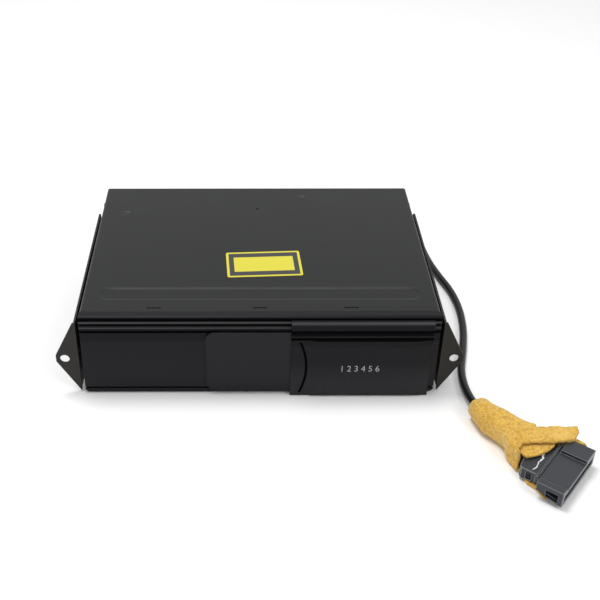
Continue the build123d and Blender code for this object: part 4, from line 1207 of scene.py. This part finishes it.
@dataclass
class Lead:
    """Data lead with its plug, and the foam wrapped round the plug's back."""

    diameter: float = 6.0 * MM
    length: float = 0.4253
    route: list[Point] = field(
        default_factory=lambda: [
            (78.5, 112.0, 18.0),
            (78.5, 136.0, 18.0),
            (95.5, 158.5, 11.0),
            (123.5, 162.0, 5.0),
            (147.0, 142.5, 3.0),
            (150.5, 112.0, 3.0),
            (153.0, 85.0, 3.0),
            (158.5, 60.0, 3.0),
            (165.5, 36.0, 3.0),
            (167.8, 8.0, 3.0),
            (165.5, -20.0, 3.0),
            (160.0, -47.0, 3.0),
            (153.2, -73.0, 3.0),
            (152.6, -99.0, 4.5),
            (156.5, -121.5, 7.5),
            (165.5, -145.0, 9.0),
            (178.2, -166.5, 7.0),
        ]
    )
    plug_edge: float = 0.36 * MM
    cap_corner: tuple[float, float] = (-34.0 * MM, 12.0 * MM)
    cap_taper: float = 5.0 * MM
    rib_side: float = 18.5 * MM
    rib_slack: float = 0.2 * MM
    rib_foot: float = 11.5 * MM
    rib_move: float = 2.4 * MM
    corner_top: float = 4.5 * MM
    corner_start: float = 8.0 * MM
    corner_behind: float = 14.0 * MM
    corner_beside: float = 16.0 * MM
    corner_lift: float = 7.0 * MM
    foam_voxel: float = 0.65 * MM
    foam_smoothing: int = 7
    smoothing_pair: tuple[float, float] = (0.5, -0.52)
    foam_lumps: float = 0.9 * MM
    foam_floor: float = 0.1 * MM

    def build(self, kit: Kit) -> None:
        """Make the lead, the plug and the foam."""
        # Painted highlight on the rounded edges of the plug and its cap.
        edge_highlight = Finish("plug_edge_highlight", shade(0.19, 0.195, 0.205), 0.36).build()
        housing, cap = (
            kit.soften(
                node,
                Slot.CONNECTOR_PLASTIC,
                "case",
                self.plug_edge,
                extra_materials=(edge_highlight,),
                reshape=reshape,
                edge_highlight=True,
            )
            for node, reshape in (
                ("connector_housing", self.shape_plug),
                ("connector_cap", self.taper_cap),
            )
        )
        cap.data.materials[0] = ScuffedFinish(
            "scuffed_cap", shade(0.017, 0.019, 0.024), 0.38, specular=0.45
        ).build()
        foam = self.build_foam(kit)
        cord = self.build_cord(kit)

    def plug_axes(self) -> tuple[Vector, Vector, Vector]:
        """Return the plug's mouth and the directions along and across it."""
        along = Vector((math.cos(PLUG_TURN), math.sin(PLUG_TURN), 0.0))
        across = Vector((-along.y, along.x, 0.0))
        return Vector((*PLUG_MOUTH, 0.0)), along, across

    def shape_plug(self, shell: bmesh.types.BMesh) -> None:
        """Narrow the plug's near rib and raise the plug's rear near corner.

        Args:
            shell: The plug's mesh.
        """
        mouth, along, across = self.plug_axes()
        for vert in shell.verts:
            place = vert.co - mouth
            behind, beside = -place.dot(along), -place.dot(across)
            on_side = abs(beside - self.rib_side) < self.rib_slack
            if on_side and vert.co.z > self.rib_foot:
                vert.co -= across * self.rib_move
            if vert.co.z < self.corner_top:
                rear = (behind - self.corner_start) / self.corner_behind
                near = (beside - self.corner_start) / self.corner_beside
                rear, near = (min(max(share, 0.0), 1.0) for share in (rear, near))
                vert.co.z += self.corner_lift * rear * near

    def taper_cap(self, shell: bmesh.types.BMesh) -> None:
        """Draw in the cap's rear near corner, which the foam covers.

        Args:
            shell: The cap's mesh.
        """
        mouth, along, across = self.plug_axes()
        for vert in shell.verts:
            place = vert.co - mouth
            rear = place.dot(along) < self.cap_corner[0]
            if rear and place.dot(across) < -self.cap_corner[1]:
                vert.co += along * self.cap_taper

    def build_cord(self, kit: Kit) -> bpy.types.Object:
        """Lay the lead as one smooth curve along its route.

        Returns:
            The lead.
        """
        curve = bpy.data.curves.new("data_lead", "CURVE")
        curve.dimensions = "3D"
        curve.bevel_depth = self.diameter / 2
        curve.bevel_resolution = 6
        curve.use_fill_caps = True
        curve.resolution_u = 12
        spline = curve.splines.new("NURBS")
        spline.points.add(len(self.route) - 1)
        for point, place in zip(spline.points, self.route):
            point.co = (*(c * MM for c in place), 1.0)
        spline.order_u = 3
        spline.use_endpoint_u = True
        cord = link("data_lead", curve)
        curve.materials.append(kit.material(Slot.CABLE_JACKET))
        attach(cord, "case")
        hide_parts("cable")
        LOG.info("cord %s: %d points", cord.name, len(self.route))
        return cord

    def build_foam(self, kit: Kit) -> bpy.types.Object:
        """Shape the foam wrap, with soft edges and a lumpy skin.

        Returns:
            The foam.
        """
        rough = link("foam_rough", mesh_from("foam_rough", kit.copy_of("foam_wrap")))
        knife = self.fold_knife()
        for kind in ("REMESH", "BOOLEAN", "REMESH"):
            step = rough.modifiers.new(kind.lower(), kind)
            if kind == "REMESH":
                step.mode = "VOXEL"
                step.voxel_size = self.foam_voxel
            else:
                step.operation = "DIFFERENCE"
                step.solver = "EXACT"
                step.use_self = True
                step.object = knife
        soft = final_shell(rough)
        bpy.data.objects.remove(knife)
        for factor in self.smoothing_pair * self.foam_smoothing:
            bmesh.ops.smooth_vert(
                soft,
                verts=soft.verts,
                factor=factor,
                use_axis_x=True,
                use_axis_y=True,
                use_axis_z=True,
            )
        for pull in FOAM_PULLS:
            pull.apply(soft)
        ragged(soft, self.foam_lumps, 90.0, 3.0)
        ragged(soft, self.foam_lumps / 3, 400.0, 7.0)
        for vert in soft.verts:
            vert.co.z = max(vert.co.z, self.foam_floor)
        made = kit.piece("foam_wrap_finished", soft, Slot.FOAM, "case", 180.0)
        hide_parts("foam_wrap")
        return made

    def fold_knife(self) -> bpy.types.Object:
        """Make the shape that parts the foam's hood, lobe and near flap.

        Returns:
            An object to cut with, to be removed afterwards.
        """
        shell = bmesh.new()
        for slit in FOAM_SLITS:
            levels = (slit.low, slit.high)
            places = [(x, y, z) for z in levels for x, y in slit.corners]
            prism(shell, [Vector(place) * MM for place in places])
        return link("fold_knife", mesh_from("fold_knife", shell))


# ------------------------ studio
@dataclass(frozen=True)
class Lamp:
    """A square soft lamp that faces the object, in metres and watts."""

    name: str
    place: Point
    size: float
    power: float

    def hang(self) -> None:
        """Add the lamp to the scene."""
        light = bpy.data.lights.new(self.name, "AREA")
        light.shape = "SQUARE"
        light.size = self.size
        light.energy = self.power
        lamp = link(self.name, light)
        lamp.location = self.place
        facing = (-Vector(self.place)).to_track_quat("-Z", "Y")
        lamp.rotation_euler = facing.to_euler()


LAMPS = (
    Lamp("overhead_lamp", (-0.25, 0.1, 1.5), 0.55, 12.0),
    Lamp("front_lamp", (0.9, -1.1, 1.3), 0.5, 5.0),
)


@dataclass
class Studio:
    """Pale floor, soft light and the camera at the photograph's angle."""

    camera_place: Point = (-0.0123, -0.66215, 0.4735)
    camera_turn: Point = (math.radians(55.54), 0.0, math.radians(-0.13))
    lens: float = 59.316
    shift: float = 0.0925
    sensor: float = 36.0
    nearest: float = 0.01
    floor_half: float = 6.0
    floor_height: float = -0.0002
    floor_colour: Colour = shade(0.97, 0.97, 0.97)
    sky_fill: float = 0.66

    def build(self) -> None:
        """Set up floor, world, lamps and camera."""
        self.build_floor()
        self.build_world()
        for lamp in LAMPS:
            lamp.hang()
        self.build_camera()
        bpy.context.scene.view_settings.view_transform = "Standard"

    def build_floor(self) -> None:
        """Lay the floor."""
        shell = bmesh.new()
        bmesh.ops.create_grid(shell, x_segments=1, y_segments=1, size=self.floor_half)
        mesh = mesh_from("studio_floor", shell)
        floor = link("studio_floor", mesh)
        floor.location.z = self.floor_height
        graph = Graph("studio_floor")
        graph.set(
            Base_Color=self.floor_colour, Roughness=0.9, Specular_IOR_Level=0.1
        )
        mesh.materials.append(graph.material)
        floor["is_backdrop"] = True

    def build_world(self) -> None:
        """Light the scene from all round, white to the camera and in reflections."""
        world = bpy.data.worlds.new("studio_sky")
        world.use_nodes = True
        bpy.context.scene.world = world
        tree = world.node_tree
        tree.nodes.clear()
        output = tree.nodes.new("ShaderNodeOutputWorld")
        sky = tree.nodes.new("ShaderNodeBackground")
        rays = tree.nodes.new("ShaderNodeLightPath")
        tree.links.new(sky.outputs[0], output.inputs["Surface"])
        shown = rays.outputs["Is Camera Ray"]
        for name in ("Is Transmission Ray", "Is Glossy Ray"):
            either = tree.nodes.new("ShaderNodeMath")
            either.operation = "MAXIMUM"
            tree.links.new(shown, either.inputs[0])
            tree.links.new(rays.outputs[name], either.inputs[1])
            shown = either.outputs[0]
        strength = tree.nodes.new("ShaderNodeMapRange")
        strength.inputs["To Min"].default_value = self.sky_fill
        strength.inputs["To Max"].default_value = 1.0
        tree.links.new(shown, strength.inputs["Value"])
        tree.links.new(strength.outputs[0], sky.inputs["Strength"])
        sky.inputs["Color"].default_value = shade(1.0, 1.0, 1.0)

    def build_camera(self) -> None:
        """Place the camera."""
        data = bpy.data.cameras.new("photo_camera")
        data.lens = self.lens
        data.sensor_width = self.sensor
        data.shift_x = self.shift
        data.clip_start = self.nearest
        camera = link("photo_camera", data)
        camera.location = self.camera_place
        camera.rotation_euler = self.camera_turn
        bpy.context.scene.camera = camera


def corners() -> list[list[float]]:
    """Return the whole object's box as plain lists."""
    return [[float(c) for c in corner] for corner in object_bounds()]


def main() -> None:
    """Load the frame and build every piece."""
    logging.basicConfig(level=logging.INFO, format="%(name)s: %(message)s")
    kit = Kit(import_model())
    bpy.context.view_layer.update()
    Studio().build()
    kit.dress_nodes()
    Lead().build(kit)
    Casing().build(kit)
    Doors().build(kit)
    bpy.context.view_layer.update()


if __name__ == "__main__":
    main()
